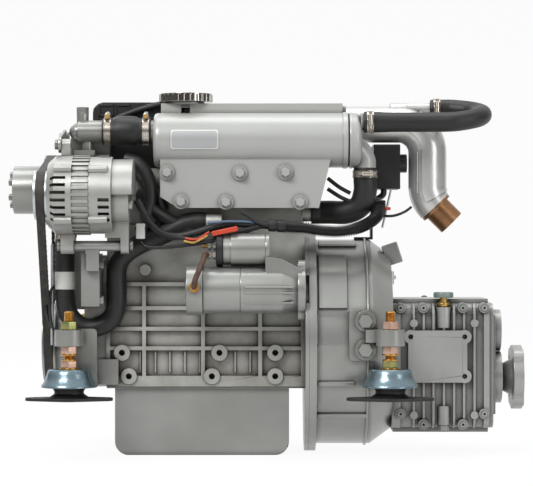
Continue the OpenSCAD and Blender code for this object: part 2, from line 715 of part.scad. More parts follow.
module gearbox_case() color("#a0a2a0") difference() {
    union() {
        xblock(box_x0, box_x1, -box_core, box_core, -box_down, box_up, box_corner);
        xblock(bell_x3, bell_x3 + box_joint_t, -box_hw, box_hw, -box_down, box_up, box_corner);
        xblock(box_x1 - box_rear_t, box_x1, -box_hw, box_hw, -box_down, box_up, box_corner);
        for (s = side_rib_shares) xblock(box_x0 + box_len * s - box_rib_w / 2,
            box_x0 + box_len * s + box_rib_w / 2, -box_hw, box_hw, -box_down, box_up, box_corner);
        for (z = [-box_down, box_up]) box(box_x0, box_x1, -box_core + box_corner, box_core - box_corner,
            z - box_rib_h, z + box_rib_h);
        xcyl(bell_x3 - box_rib_h, box_x0, 0, crank_h, crank_flange_r - gap);
        ycyl(box_core - over, box_hw + box_rib_h, lever_x, lever_z, lever_boss_r);
        for (p = [for (s = bolt_shares) box_place(s)]) ycyl(-box_hw - bolt_boss_t, box_corner - box_core,
            p[0], p[1], bolt_boss_r);
        for (p = [for (s = stud_shares) box_place(s)]) ycyl(-box_hw - over, box_corner - box_core,
            p[0], p[1], stud_boss_r);
        zcyl(dip_boss_z0, dip_boss_z1, dip_x, -dip_y, dip_boss_r);
        zcyl(drain_z0, drain_z1, dip_x, -drain_y, drain_r);
    }
    difference() {
        xblock(box_x0 + box_wall, box_x1 + over, box_wall - box_core, box_core - box_wall,
            box_wall - box_down + box_rib_h, box_up - box_wall - box_rib_h, box_corner - box_wall);
        box(dip_x - dip_pad, dip_x + dip_pad, -box_core, dip_pad - dip_y, rod_z0 - dip_pad, box_up);
    }
    zcyl(dip_boss_z1, box_up + box_rib_h, dip_x, -dip_y, collar_r + gap);
    zcyl(-box_down - box_rib_h, drain_z0, dip_x, -drain_y, drain_af / sqrt(3) + gap);
    ycyl(box_core - box_wall - over, box_hw + box_rib_h + over, lever_x, lever_z, lever_shaft_r + shaft_gap);
    dip_hole();
}

// Output shaft with its coupling flange, and the end cover that carries it
housing_x1 = -34;
cover_plate_t = 7;
cover_hub_r = 42;
input_hub_r = 34;
input_hub_z = crank_h + 18;
shaft_x0 = box_x0 + box_wall + over;
out_gear_r = 52;
out_gear_x = box_x0 + box_len / 2;
out_gear_w = 24;
shaft_cone_r = 30;
lobe_out_r = 14;
lug_places = 4;
spigot_hole_r = 15;
module gearbox_end_cover() color("#a0a2a0") difference() {
    union() {
        xblock(box_x1, box_x1 + cover_plate_t, -box_core, box_core, -box_down, box_up, box_corner);
        xcyl(box_x1, housing_x1, 0, 0, cover_hub_r);
        xcyl(box_x1, housing_x1 - over, 0, input_hub_z, input_hub_r);
        for (y = [-box_core / 2, box_core / 2]) box(box_x1, box_x1 + cover_plate_t * 2,
            y - box_rib_w / 2, y + box_rib_w / 2, -box_down + box_corner, box_up - box_corner);
    }
    xcyl(box_x1 - over, housing_x1 + over, 0, 0, out_r + shaft_gap);
}
module output_shaft() color("#9a9c9d") difference() {
    union() {
        xcyl(shaft_x0, -coupling_t + over, 0, 0, out_r);
        xcyl(out_gear_x, out_gear_x + out_gear_w, 0, 0, out_gear_r);
        xcone(housing_x1 + gap, -coupling_t, 0, 0, out_r + box_rib_w, shaft_cone_r);
        translate([-coupling_t, 0, 0]) rotate([90, 0, 90]) linear_extrude(height = coupling_t) difference() {
            union() {
                circle(r = coupling_r - lobe_out_r / 2);
                for (i = [0 : lug_places - 1]) rotate(360 / lug_places * (i + 0.5))
                    translate([coupling_r - lobe_out_r, 0]) circle(r = lobe_out_r);
            }
            for (i = [0 : lug_places - 1]) rotate(360 / lug_places * (i + 0.5))
                translate([coupling_pcd / 2, 0]) circle(r = coupling_hole_r);
        }
    }
    for (i = [0 : lug_places - 1]) rotate([360 / lug_places * (i + 0.5), 0, 0])
        xcyl(-coupling_t * 2, over - coupling_t, 0, coupling_pcd / 2, coupling_hole_r);
    xcyl(-coupling_t / 3, over, 0, 0, spigot_hole_r);
}

// Side cover of the gearbox with three ears
side_x0 = box_x0 + box_len * 0.15;
side_x1 = box_x0 + box_len * 0.765;
side_z0 = -4;
side_z1 = 79;
side_t = 5;
side_ear_r = 11;
side_hole_r = 4;
side_ear_in = 10;
side_ears = [[side_x0 + side_hole_r, side_z1 - side_ear_in], [side_x1 - side_hole_r, side_z1 - side_ear_in],
    [side_x1 - side_hole_r, side_z0 + side_ear_in]];
module gearbox_side_cover() color("#a6a8a6") difference() {
    union() {
        yblock(side_x0, side_x1, -box_hw - side_t, -box_hw, side_z0, side_z1, side_t);
        for (p = side_ears) ycyl(-box_hw - side_t, -box_hw, p[0], p[1], side_ear_r);
    }
    for (p = side_ears) ycyl(-box_hw - side_t - over, over - box_hw, p[0], p[1], side_hole_r);
}

// Heads of the case bolts, and the drain plug
bolt_head_r = 4.6;
bolt_head_t = 4;
bolt_socket_af = 4;
drain_h = 9;
drain_af = 17;
module gearbox_bolts() color("#8f918f") {
    for (p = [for (s = bolt_shares) box_place(s)]) difference() {
        ycyl(-box_hw - bolt_boss_t - bolt_head_t, -box_hw - bolt_boss_t, p[0], p[1], bolt_head_r);
        yhex(-box_hw - bolt_boss_t - bolt_head_t - over, -box_hw - bolt_boss_t - over, p[0], p[1],
            bolt_socket_af);
    }
    zhex(drain_z0 - drain_h, drain_z0, dip_x, -drain_y, drain_af);
}

// Gear shift lever on the far side, with its shaft and dog
arm_t = 6;
arm_w = 16;
arm_len = 62;
arm_hole_r = 3;
module lever_arm(x, y, z, len, w, t, hole) difference() {
    union() {
        ycyl(y, y + t, x, z, w * 0.75);
        ycyl(y, y + t, x, z + len, w / 2);
        box(x - w / 2, x + w / 2, y, y + t, z, z + len);
    }
    ycyl(y - over, y + t + over, x, z + len, hole);
}
lever_y = box_hw + box_rib_h + gap;
module shift_lever() color("#8b8d8e") {
    ycyl(box_core - box_wall - arm_t, lever_y + over, lever_x, lever_z, lever_shaft_r);
    lever_arm(lever_x, lever_y, lever_z, arm_len, arm_w, arm_t, arm_hole_r);
}

// Exchanger with its manifold and the outlet box for the exhaust
tank_x0 = block_x0 + tank_set;
tank_x1 = block_x1 + tank_out;
tank_len = tank_x1 - tank_x0;
ledge_y1 = ledge_w - tank_y;
ledge_top = tank_z + ledge_up;
ledge_z0 = tank_z - tank_r * 0.7;
head_face = -head_w / 2 - glow_up;
manifold_z0 = tank_z - manifold_drop;
manifold_shares = [[0, 0.79], [1, 0.79], [0.935, 0.74], [0.868, 0], [0.097, 0], [0, 0.16]];
chamber_x0_share = 0.1;
chamber_x1_share = 0.86;
manifold_wall = 8;
outlet_box_len = 48;
elbow_x0 = tank_x1;
neck_in = 39;
neck_x = tank_x0 + neck_in;
neck_y = 72;
neck_r = 30;
neck_gap = 3;
neck_bore = 24;
manifold_bolt_shares = [[0.038, 0.52], [0.436, 0.51], [0.685, 0.52], [0.114, 0.093], [0.36, 0.083],
    [0.765, 0.083]];
manifold_boss_r = 12;
manifold_boss_t = 4;
flange_head_r = 9;
flange_head_t = 2.5;
bolt_af = 13;
bolt_t = 8;

module exchanger_body() color("#b2b4b1") difference() {
    union() {
        xcyl(tank_x0, tank_x1, -tank_y, tank_z, tank_r);
        box(tank_x0, tank_x1, -tank_y, ledge_y1, ledge_z0, ledge_top);
        box(tank_x1 - outlet_box_len, tank_x1, ledge_y1 - over, elbow_r - elbow_y + manifold_wall,
            elbow_z - elbow_r, ledge_top);
        translate([0, head_face, manifold_z0]) rotate([90, 0, 0])
            linear_extrude(height = manifold_y + head_face)
                polygon([for (s = manifold_shares) [tank_x0 + s[0] * tank_len, s[1] * manifold_drop]]);
        for (s = manifold_bolt_shares) ycyl(-manifold_y - manifold_boss_t, over - manifold_y,
            tank_x0 + s[0] * tank_len, manifold_z0 + s[1] * manifold_drop, manifold_boss_r);
        zcyl(ledge_top - over, ledge_top + neck_gap - gap, neck_x, -neck_y, neck_r);
    }
    xcyl(tank_x0 - over, tank_x1 + over, -tank_y, tank_z, stack_r);
    box(tank_x0 + chamber_x0_share * tank_len, tank_x0 + chamber_x1_share * tank_len,
        manifold_wall - manifold_y, head_face - manifold_wall,
        manifold_z0 + manifold_wall, tank_z - tank_r - manifold_wall / 2);
    for (x = bore_xs) ycyl(head_face - manifold_wall - over, head_face + over, x, port_z, port_r);
    zcyl(tank_z, ledge_top + neck_gap + over, neck_x, -neck_y, neck_bore);
    xcyl(tank_x1 - outlet_box_len + manifold_wall, tank_x1 + over, -elbow_y, elbow_z,
        elbow_r - elbow_wall);
}

// End caps with their hose stubs
rear_cap_x1 = tank_x1 + rear_cap_len;
riser_y = 112;
riser_z = 410;
riser_stub_r = 13;
riser_x0 = rear_cap_x1 + 3;
down_r = 18.5;
down_stub_r = 17;
down_out = 6;
down_x = rear_cap_x1 + down_out;
down_z = 338;
down_turn_z = 358;
cap_edge = 12;
thermo_y = 90;
thermo_z = 396;
thermo_r = 18;
thermo_stub = 5;
thermo_hose_x1 = tank_x0 - front_cap_len - thermo_stub;
cap_bolt_y = 76;
cap_bolt_z = 433;
module exchanger_caps() color("#b2b4b1") {
    difference() {
        union() {
            xcyl(tank_x0 - front_cap_len, tank_x0, -tank_y, tank_z, tank_r);
            xcyl(thermo_hose_x1, tank_x0 - front_cap_len + over, -thermo_y, thermo_z, thermo_r);
        }
        xcyl(thermo_hose_x1 - over, tank_x0 + over, -thermo_y, thermo_z, thermo_r - elbow_wall);
    }
    difference() {
        union() {
            xcyl(tank_x1, rear_cap_x1 - cap_edge, -tank_y, tank_z, tank_r);
            xcone(rear_cap_x1 - cap_edge, rear_cap_x1, -tank_y, tank_z, tank_r, tank_r - cap_edge * 0.75);
            xcyl(rear_cap_x1 - cap_edge, riser_x0, -riser_y, riser_z, riser_stub_r);
            xcyl(rear_cap_x1 - cap_edge, down_x, -tank_y, down_turn_z, down_stub_r);
            translate([down_x, -tank_y, down_turn_z]) sphere(r = down_stub_r);
            zcyl(down_z, down_turn_z, down_x, -tank_y, down_stub_r);
        }
        xcyl(tank_x1 - over, rear_cap_x1 - cap_edge, -tank_y, tank_z, stack_r);
        xcyl(tank_x1 + cap_edge, riser_x0 + over, -riser_y, riser_z, riser_stub_r - elbow_wall);
        zcyl(down_z - over, down_turn_z, down_x, -tank_y, down_stub_r - elbow_wall);
    }
    xhex(tank_x1, tank_x1 + bolt_t, -cap_bolt_y, cap_bolt_z, bolt_af);
    xcyl(tank_x1 + bolt_t, tank_x1 + bolt_t * 2, -cap_bolt_y, cap_bolt_z, bolt_af / 3);
}

// Tube stack: plates, baffles and tubes
stack_tube_r = 3.2;
stack_pitch = 13;
stack_plate_t = 4;
baffles = 3;
module tube_stack() color("#b07a45") {
    for (i = [0 : baffles + 1]) {
        x = tank_x0 + stack_plate_t + (tank_len - stack_plate_t * 3) * i / (baffles + 1);
        xcyl(x, x + stack_plate_t, -tank_y, tank_z, stack_r - gap);
    }
    for (i = [-2 : 2], k = [-2 : 2]) if (abs(i) + abs(k) < 4)
        xcyl(tank_x0 + stack_plate_t, tank_x1 - stack_plate_t * 2, -tank_y + i * stack_pitch,
            tank_z + k * stack_pitch, stack_tube_r);
}

module manifold_bolts() color("#b4b6b3")
    for (s = manifold_bolt_shares) {
        x = tank_x0 + s[0] * tank_len;
        z = manifold_z0 + s[1] * manifold_drop;
        y = -manifold_y - manifold_boss_t;
        ycyl(y - flange_head_t, y, x, z, flange_head_r);
        yhex(y - flange_head_t - bolt_t, y - flange_head_t, x, z, bolt_af);
    }

// Pressure cap with its fluted edge and the plug that goes down the neck
flutes = 28;
flute_r = 2;
module coolant_cap() color("#c9ccce") {
    difference() {
        zcyl(ledge_top + neck_gap, ledge_top + neck_gap + cap_h, neck_x, -neck_y, cap_r);
        for (i = [0 : flutes - 1]) translate([neck_x, -neck_y, 0]) rotate([0, 0, 360 * i / flutes])
            zcyl(ledge_top, ledge_top + neck_gap + cap_h - flute_r, cap_r + flute_r / 2, 0, flute_r);
    }
    zcyl(ledge_top - cap_h / 2, ledge_top + neck_gap + over, neck_x, -neck_y, neck_bore - gap);
}

// Exhaust elbow: level run, bend down, drop, and a bend to the outlet
bend_x = -elbow_drop_x - elbow_bend;
bend_z = elbow_z - elbow_bend;
drop_z = bend_z - elbow_drop_len;
spigot_z = 436;
spigot_r = 9;
spigot_out = 6;
spigot_len = 65;
spigot_x1 = spigot_out - elbow_drop_x;
spigot_x0 = spigot_x1 - spigot_len;
elbow_step = 11.25;
elbow_sides = 24;
function bend(x, z, a0, a1) = [for (i = [0 : round(abs(a1 - a0) / elbow_step)])
    let (a = a0 + sign(a1 - a0) * i * elbow_step)
    [x + elbow_bend * cos(a), -elbow_y, z + elbow_bend * sin(a)]];
outlet_way = [sin(outlet_angle), 0, -cos(outlet_angle)];
elbow_bends = concat(bend(bend_x, bend_z, 90, 0), bend(elbow_bend - elbow_drop_x, drop_z, 180, 180 + outlet_angle));
function elbow_path(extra) = concat([[elbow_x0 - extra, -elbow_y, elbow_z]], elbow_bends,
    [elbow_bends[len(elbow_bends) - 1] + (extra + gap) * outlet_way]);
module elbow_run(r, extra) tube(elbow_path(extra), r, [0, 1, 0], elbow_sides);
module outlet_place() translate([elbow_bend - elbow_drop_x - elbow_bend * cos(outlet_angle), -elbow_y,
    drop_z - elbow_bend * sin(outlet_angle)] + gap * outlet_way) rotate([0, 180 - outlet_angle, 0]) children();
module exhaust_elbow() color("#b9bbba") difference() {
    union() {
        elbow_run(elbow_r, 0);
        xcyl(spigot_x0, spigot_x1, -elbow_y, spigot_z, spigot_r);
    }
    elbow_run(elbow_r - elbow_wall, over);
    xcyl(bend_x + elbow_r, spigot_x1 + over, -elbow_y, spigot_z, spigot_r / 2);
}
module exhaust_outlet() color("#8a5a34") outlet_place() difference() {
    union() {
        cylinder(r = outlet_r, h = outlet_len);
        cylinder(r = elbow_r - over, h = elbow_wall);
    }
    translate([0, 0, -over]) cylinder(r = outlet_r - outlet_wall, h = outlet_len + 2 * over);
}

// Hoses. The riser turns back over the elbow, the down hose feeds the head.
riser_r = 15.4;
riser_route = [[3, -112, 410], [20, -112, 410], [65, -112, 410], [115, -112, 410], [149, -112, 411],
    [181, -98, 417], [195, -66, 425], [181, -34, 432], [151, -20, 436], [130, -20, 436],
    [115, -20, 436]];
down_route = [[6, -95, 338], [6, -95, 320], [6, -95, 300], [-2, -91, 278], [-23, -82, 268],
    [-48, -68, 268], [-61, -62, 268], [-70, -62, 268], [-79, -62, 268]];
coolant_route = [[-59, -60, 275], [-59, -67, 275], [-59, -74, 275], [-61, -90, 262], [-64, -101, 238],
    [-64, -110, 200], [-64, -112, 136], [-58, -112, 105], [-37, -112, 86], [-12, -112, 86],
    [10, -113, 100], [18, -115, 128], [18, -115, 176], [29, -115, 199], [55, -114, 217],
    [91, -112, 232], [123, -109, 248], [141, -108, 252], [150, -108, 252], [159, -108, 252]];
coolant_r = 15.5;
hose_sides = 12;
module riser_hose() color("#1c1c1d") translate([rear_cap_x1, 0, 0]) {
    p = route(riser_route, 3);
    tube(p, [for (i = [0 : len(p) - 1]) i < 4 ? riser_r + 2 - i / 2 : riser_r], [0, 0, 1], hose_sides);
}
module down_hose() color("#1c1c1d") translate([rear_cap_x1, 0, 0])
    tube(route(down_route, 3), down_r, [0, 1, 0], hose_sides);
module coolant_hose() color("#1c1c1d") translate([block_x0, 0, 0])
    tube(route(coolant_route, 2), coolant_r, [0.2, 1, 0.3], hose_sides);

// Thermostat housing in front of the head
thermo_lead = 50;
thermo_end_lead = 6;
thermo_turn_lead = 45;
case_lead = 59;
thermo_foot_lead = 19;
thermo_plug_lead = 38;
thermo_x0 = block_x0 - thermo_lead;
thermo_x1 = block_x0 - thermo_end_lead;
thermo_turn_x = block_x0 - thermo_turn_lead;
case_x0 = block_x0 - case_lead;
case_y0 = -62;
case_y1 = -30;
case_z0 = 352;
case_z1 = 404;
foot_x0 = block_x0 - thermo_foot_lead;
foot_z0 = 300;
foot_y1 = -41;
thermo_plug_x = block_x0 - thermo_plug_lead;
thermo_plug_r = 9.5;
thermo_plug_af = 17;
thermo_plug_z = 423;
thermo_plug_h = 12;
thermo_washer = 2;
thermo_bolt_z = 358;
thermo_case_r = 8;
thermo_hose_r = 24.5;
module thermostat_housing() color("#b0b2af") {
    difference() {
        union() {
            xcyl(thermo_turn_x, thermo_x1, -thermo_y, thermo_z, thermo_r);
            ycyl(-thermo_y, case_y0 + over, thermo_turn_x, thermo_z, thermo_r * 0.8);
            translate([thermo_turn_x, -thermo_y, thermo_z]) sphere(r = thermo_r * 0.8);
            xblock(case_x0, head_x0, case_y0, case_y1, case_z0, case_z1, thermo_case_r);
            box(foot_x0, head_x0, -head_w / 2, foot_y1, foot_z0, case_z0 + thermo_case_r);
            zcyl(thermo_z, thermo_plug_z, thermo_plug_x, -thermo_y, thermo_plug_r);
            box(thermo_x0, foot_x0 + over, -thermo_y - thermo_r, case_y0, thermo_bolt_z,
                thermo_bolt_z + thermo_case_r);
            zcyl(thermo_bolt_z, thermo_z, thermo_plug_x + thermo_case_r, -thermo_y, thermo_case_r);
        }
        xcyl(thermo_turn_x, thermo_x1 + over, -thermo_y, thermo_z, thermo_r - elbow_wall);
    }
    zcyl(thermo_plug_z, thermo_plug_z + thermo_washer, thermo_plug_x, -thermo_y, thermo_plug_r);
    zhex(thermo_plug_z + thermo_washer, thermo_plug_z + thermo_plug_h, thermo_plug_x, -thermo_y,
        thermo_plug_af);
}
thermo_end_r = 21;
bulge_shares = [[0, 0], [0.22, 0], [0.34, 0.7], [0.48, 1], [0.66, 1], [0.72, 0.7], [0.8, 0], [1, 0]];
module thermostat_hose() color("#1c1c1d") translate([thermo_x1, -thermo_y, thermo_z]) rotate([0, 90, 0])
    rotate_extrude() polygon([[0, 0], for (s = bulge_shares) [thermo_end_r
        + s[1] * (thermo_hose_r - thermo_end_r), s[0] * (thermo_hose_x1 - thermo_x1)],
        [0, thermo_hose_x1 - thermo_x1]]);

// Worm-drive hose clamps
clamp_w = 10;
clamp_t = 1.2;
screw_w = 9;
screw_len = 22;
screw_h = 8;
module clamp(r) {
    difference() {
        cylinder(r = r + gap + clamp_t, h = clamp_w, center = true);
        cylinder(r = r + gap, h = clamp_w + 2 * over, center = true);
    }
    translate([r + gap + screw_h / 2, 0, 0]) cube([screw_h, screw_len, screw_w], center = true);
    translate([r + gap + screw_h / 2, -screw_len / 2 - screw_h / 2, 0]) rotate([90, 0, 0])
        cylinder(r = screw_h / 2, h = screw_h, center = true);
}
module clamp_x(x, y, z, r, a) translate([x, y, z]) rotate([a, 0, 0]) rotate([0, 90, 0]) clamp(r);
module hose_clamps() color("#b9a68c") {
    clamp_x(thermo_x1 + clamp_w * 0.8, -thermo_y, thermo_z, thermo_end_r, 180);
    clamp_x(thermo_hose_x1 - clamp_w * 0.8, -thermo_y, thermo_z, thermo_end_r, 180);
    clamp_x(rear_cap_x1 + riser_route[0][0] + clamp_w, -riser_y, riser_z, riser_r + 1.6, 270);
    clamp_x(rear_cap_x1 + riser_route[10][0] + clamp_w, -elbow_y, spigot_z, riser_r, 180);
    translate([down_x, -tank_y, down_z - clamp_w]) rotate([0, 0, 270]) clamp(down_r);
}

// Alternator, measured back from its front face
alt_x0 = block_x0 - alt_lead;
alt_x1 = alt_x0 + alt_front_len;
alt_x2 = alt_x1 + stator_len;
alt_x3 = alt_x2 + alt_rear_len;
alt_x4 = alt_x3 + alt_cover_len;
alt_inner = alt_r - alt_wall;
stator_inner = 46;
stator_ribs = 36;
stator_rib_h = 2;
stator_rib_w = 5;
alt_shaft_r = 8.5;
alt_chamfer = 12;
slot_w = 5;
slot_step = 11;
slot_inset = 4;
lug_hole_r = 5;
pivot_y = 170;
pivot_z = 214;
pivot_lug_r = 12.5;
lug_front_len = 20;
lug_rear_out = 12;
lug_rear_len = 13;
ear_in = 20;
ear_len = 14;
lug_front_x1 = alt_x1;
lug_front_x0 = lug_front_x1 - lug_front_len;
lug_rear_x0 = alt_x3 + lug_rear_out;
lug_rear_x1 = lug_rear_x0 + lug_rear_len;
ear_x0 = alt_x0 + ear_in;
ear_x1 = ear_x0 + ear_len;
ear_z = 372;
ear_w = 18;
through_lugs = [40, 140, 220, 320];
through_r = 7;
module at_alt() translate([0, -alt_y, alt_z]) children();
module vent_slots(x0, x1, r, angles) at_alt() for (a = angles) rotate([a, 0, 0])
    box(x0, x1, -r - over, -r + alt_wall + slot_inset, -slot_w / 2, slot_w / 2);
front_slots = [for (k = [0 : 2], i = [-3 : 3]) k * 120 + 8 + i * slot_step];
rear_slots = [for (k = [0 : 2], i = [0 : 3]) k * 120 + 8 + i * slot_step];
module pivot_lug(x0, x1) {
    xcyl(x0, x1, -pivot_y, pivot_z, pivot_lug_r);
    box(x0, x1, -pivot_y - pivot_lug_r, pivot_lug_r - pivot_y, pivot_z, alt_z - alt_inner);
}
module pivot_hole(x0, x1) xcyl(x0 - over, x1 + over, -pivot_y, pivot_z, lug_hole_r + gap);
module alternator_front() color("#bcbebb") difference() {
    union() {
        at_alt() xcyl(alt_x0 + alt_chamfer, alt_x1, 0, 0, alt_r);
        at_alt() xcone(alt_x0, alt_x0 + alt_chamfer, 0, 0, alt_r - alt_chamfer, alt_r);
        at_alt() for (a = through_lugs) rotate([a, 0, 0]) xcyl(alt_x0 + alt_chamfer, alt_x1, -alt_r, 0,
            through_r);
        pivot_lug(lug_front_x0, lug_front_x1);
        box(ear_x0, ear_x1, -alt_y - ear_w / 2, ear_w / 2 - alt_y, alt_z + alt_inner, ear_z);
        xcyl(ear_x0, ear_x1, -alt_y, ear_z, ear_w / 2);
    }
    at_alt() xcyl(alt_x0 + alt_wall, alt_x1 + over, 0, 0, alt_inner - alt_chamfer / 2);
    at_alt() xcyl(alt_x0 - over, alt_x1, 0, 0, alt_shaft_r + run_fit);
    vent_slots(alt_x0 + alt_chamfer / 2, alt_x1 - alt_wall * 1.5, alt_r, front_slots);
    pivot_hole(lug_front_x0, lug_front_x1);
    xcyl(ear_x0 - over, ear_x1 + over, -alt_y, ear_z, lug_hole_r + gap);
}
module alternator_stator() color("#b0b0ab") difference() {
    at_alt() union() {
        xcyl(alt_x1, alt_x2, 0, 0, alt_r - stator_rib_h);
        for (i = [0 : stator_ribs - 1]) rotate([360 / stator_ribs * i, 0, 0])
            box(alt_x1, alt_x2, stator_inner, alt_r, -stator_rib_w / 2, stator_rib_w / 2);
    }
    at_alt() xcyl(alt_x1 - over, alt_x2 + over, 0, 0, stator_inner);
}
module alternator_rear() color("#bcbebb") difference() {
    union() {
        at_alt() xcyl(alt_x2, alt_x3, 0, 0, alt_r - stator_rib_h);
        at_alt() for (a = through_lugs) rotate([a, 0, 0])
            xcyl(alt_x2, alt_x3 - alt_wall, stator_rib_h - alt_r, 0, through_r);
        at_alt() intersection() {
            xcyl(alt_x3 - over, alt_x4, 0, 0, alt_inner);
            box(alt_x3 - over, alt_x4, -alt_r, alt_r, 0, alt_r);
        }
        at_alt() xcyl(alt_x3 - over, alt_x4 - alt_wall, 0, 0, alt_inner - alt_wall * 2);
        at_alt() xcyl(alt_x4 - alt_wall - over, alt_x4, -alt_r / 2, -alt_r / 4, through_r);
        pivot_lug(lug_rear_x0, lug_rear_x1);
        box(alt_x3 - alt_wall * 2, lug_rear_x1, -pivot_y - pivot_lug_r, pivot_lug_r - pivot_y,
            pivot_z + pivot_lug_r, alt_z - alt_inner / 2);
    }
    at_alt() xcyl(alt_x2 - over, alt_x3 - alt_wall, 0, 0, alt_inner - alt_chamfer / 2);
    at_alt() xcyl(alt_x2 - over, alt_x3 + alt_wall, 0, 0, alt_shaft_r + run_fit);
    vent_slots(alt_x2 + alt_wall * 2.5, alt_x3 - alt_wall / 2, alt_r, rear_slots);
    pivot_hole(lug_rear_x0, lug_rear_x1);
}

// Brackets that hold the alternator: pivot sleeves, casting on the timing cover, slotted strap
sleeve_r = 8;
sleeve_x0 = lug_front_x1;
sleeve_x1 = lug_rear_x0;
pivot_af = 14;
pivot_head = 6;
casting_len = 29;
casting_x0 = timing_x0;
casting_x1 = casting_x0 + casting_len;
casting_y0 = -158;
casting_z0 = 119;
casting_z1 = 202;
casting_wall = 9;
strap_t = 5;
strap_end_y = 92;
strap_end_z = 386;
strap_r = 13;
module alternator_brackets() color("#a9aba8") {
    xcyl(sleeve_x0, sleeve_x1, -pivot_y, pivot_z, sleeve_r);
    xcyl(lug_front_x0 - over, lug_rear_x1 + pivot_head, -pivot_y, pivot_z, lug_hole_r);
    xhex(lug_front_x0 - pivot_head, lug_front_x0, -pivot_y, pivot_z, pivot_af);
    xhex(lug_rear_x1, lug_rear_x1 + pivot_head, -pivot_y, pivot_z, pivot_af);
    box(casting_x0, casting_x1, casting_y0, -timing_hw, casting_z0, casting_z1);
    box(casting_x0 + casting_wall, casting_x1, -pivot_y - sleeve_r / 2, casting_y0 + over,
        casting_z1 - casting_wall * 3, pivot_z);
    for (z = [casting_z0 + casting_wall, casting_z1 - casting_wall * 2])
        xhex(casting_x1, casting_x1 + pivot_head, casting_y0 + casting_wall, z, pivot_af);
    translate([ear_x0 - strap_t, 0, 0]) rotate([90, 0, 90]) linear_extrude(height = strap_t) difference() {
        union() {
            translate([-alt_y, ear_z]) circle(r = strap_r);
            translate([-strap_end_y, strap_end_z]) circle(r = strap_r);
            polygon([[-alt_y, ear_z - strap_r], [-strap_end_y, strap_end_z - strap_r],
                [-strap_end_y, strap_end_z + strap_r], [-alt_y, ear_z + strap_r]]);
        }
        polygon([[-alt_y + strap_r, ear_z], [-strap_end_y - strap_r, strap_end_z - sleeve_r],
            [-strap_end_y - strap_r, strap_end_z], [-alt_y + strap_r, ear_z + sleeve_r]]);
    }
    xhex(ear_x0 - strap_t - pivot_head, ear_x0 - strap_t, -alt_y, ear_z, pivot_af);
    xcyl(ear_x0 - strap_t, ear_x1 + over, -alt_y, ear_z, lug_hole_r);
    xhex(ear_x0 - strap_t - pivot_head, ear_x0 - strap_t, -strap_end_y, strap_end_z, pivot_af);
    xcyl(ear_x0 - over, thermo_turn_x - thermo_r * 0.8, -thermo_y, thermo_z - thermo_r / 2, sleeve_r);
}

// V-belt pulleys: a groove between two rims
rim_t = 4;
groove_half = belt_w / 2 + gap;
pulley_half = groove_half + rim_t;
belt_depth = belt_t + gap;
module pulley(y, z, r) {
    xcyl(-belt_x - pulley_half, -belt_x + pulley_half, y, z, r - belt_depth);
    for (side = mirrored) xcyl(-belt_x + (side > 0 ? groove_half : -pulley_half),
        -belt_x + (side > 0 ? pulley_half : -groove_half), y, z, r);
}
damper_len = 18;
module crank_pulley() color("#8f918f") difference() {
    union() {
        pulley(0, crank_h, crank_pulley_r);
        xcyl(-belt_x + pulley_half, -belt_x + pulley_half + damper_len, 0, crank_h,
            crank_pulley_r - belt_depth * 2);
    }
    xcyl(-belt_x - pulley_half - over, -belt_x + pulley_half + damper_len + over, 0, crank_h,
        nose_r + run_fit);
}
pump_shaft_r = 8;
pump_shaft_in = 66;
pump_shaft_x1 = pump_shaft_in - belt_x;
drum_x1 = -belt_x - pulley_half;
drum_bolts = 6;
drum_bolt_pcr = 24;
drum_bolt_h = 7;
drum_bolt_af = 10;
drum_x0 = drum_x1 - drum_len;
module pump_pulley() color("#b4b6b4") {
    pulley(0, pump_z, pump_pulley_r);
    xcyl(drum_x0, drum_x1 + over, 0, pump_z, drum_r);
    for (i = [0 : drum_bolts - 1]) translate([0, 0, pump_z]) rotate([360 / drum_bolts * i, 0, 0])
        xhex(drum_x0 - drum_bolt_h, drum_x0, 0, drum_bolt_pcr, drum_bolt_af);
    xcyl(-belt_x, pump_shaft_x1, 0, pump_z, pump_shaft_r);
}
pump_in = 16;
pump_x0 = pump_in - belt_x;
pump_r = 38;
pump_front = 4;
pump_stub_r = 13;
pump_stub_z = 275;
pump_stub_lead = 59;
pump_stub_x = block_x0 - pump_stub_lead;
module water_pump() color("#a3a5a2") difference() {
    union() {
        xcyl(pump_x0 + pump_front, head_x0, 0, pump_z, pump_r);
        xcyl(pump_x0, pump_x0 + pump_front + over, 0, pump_z, pump_r / 2);
        ycyl(coolant_route[0][1], -pump_r / 2, pump_stub_x, pump_stub_z, pump_stub_r);
    }
    xcyl(pump_x0 - over, pump_shaft_x1 + over, 0, pump_z, pump_shaft_r + run_fit);
}
fan_r = 40;
fan_t = 8;
module alternator_rotor() color("#9d9f9e") {
    pulley(-alt_y, alt_z, alt_pulley_r);
    xcyl(-belt_x, alt_x3 - gap, -alt_y, alt_z, alt_shaft_r);
    xcyl(alt_x1 - fan_t, alt_x2 + fan_t, -alt_y, alt_z, stator_inner - over);
    xcyl(alt_x0 + alt_wall + over, alt_x0 + alt_wall + over + fan_t, -alt_y, alt_z, fan_r);
}

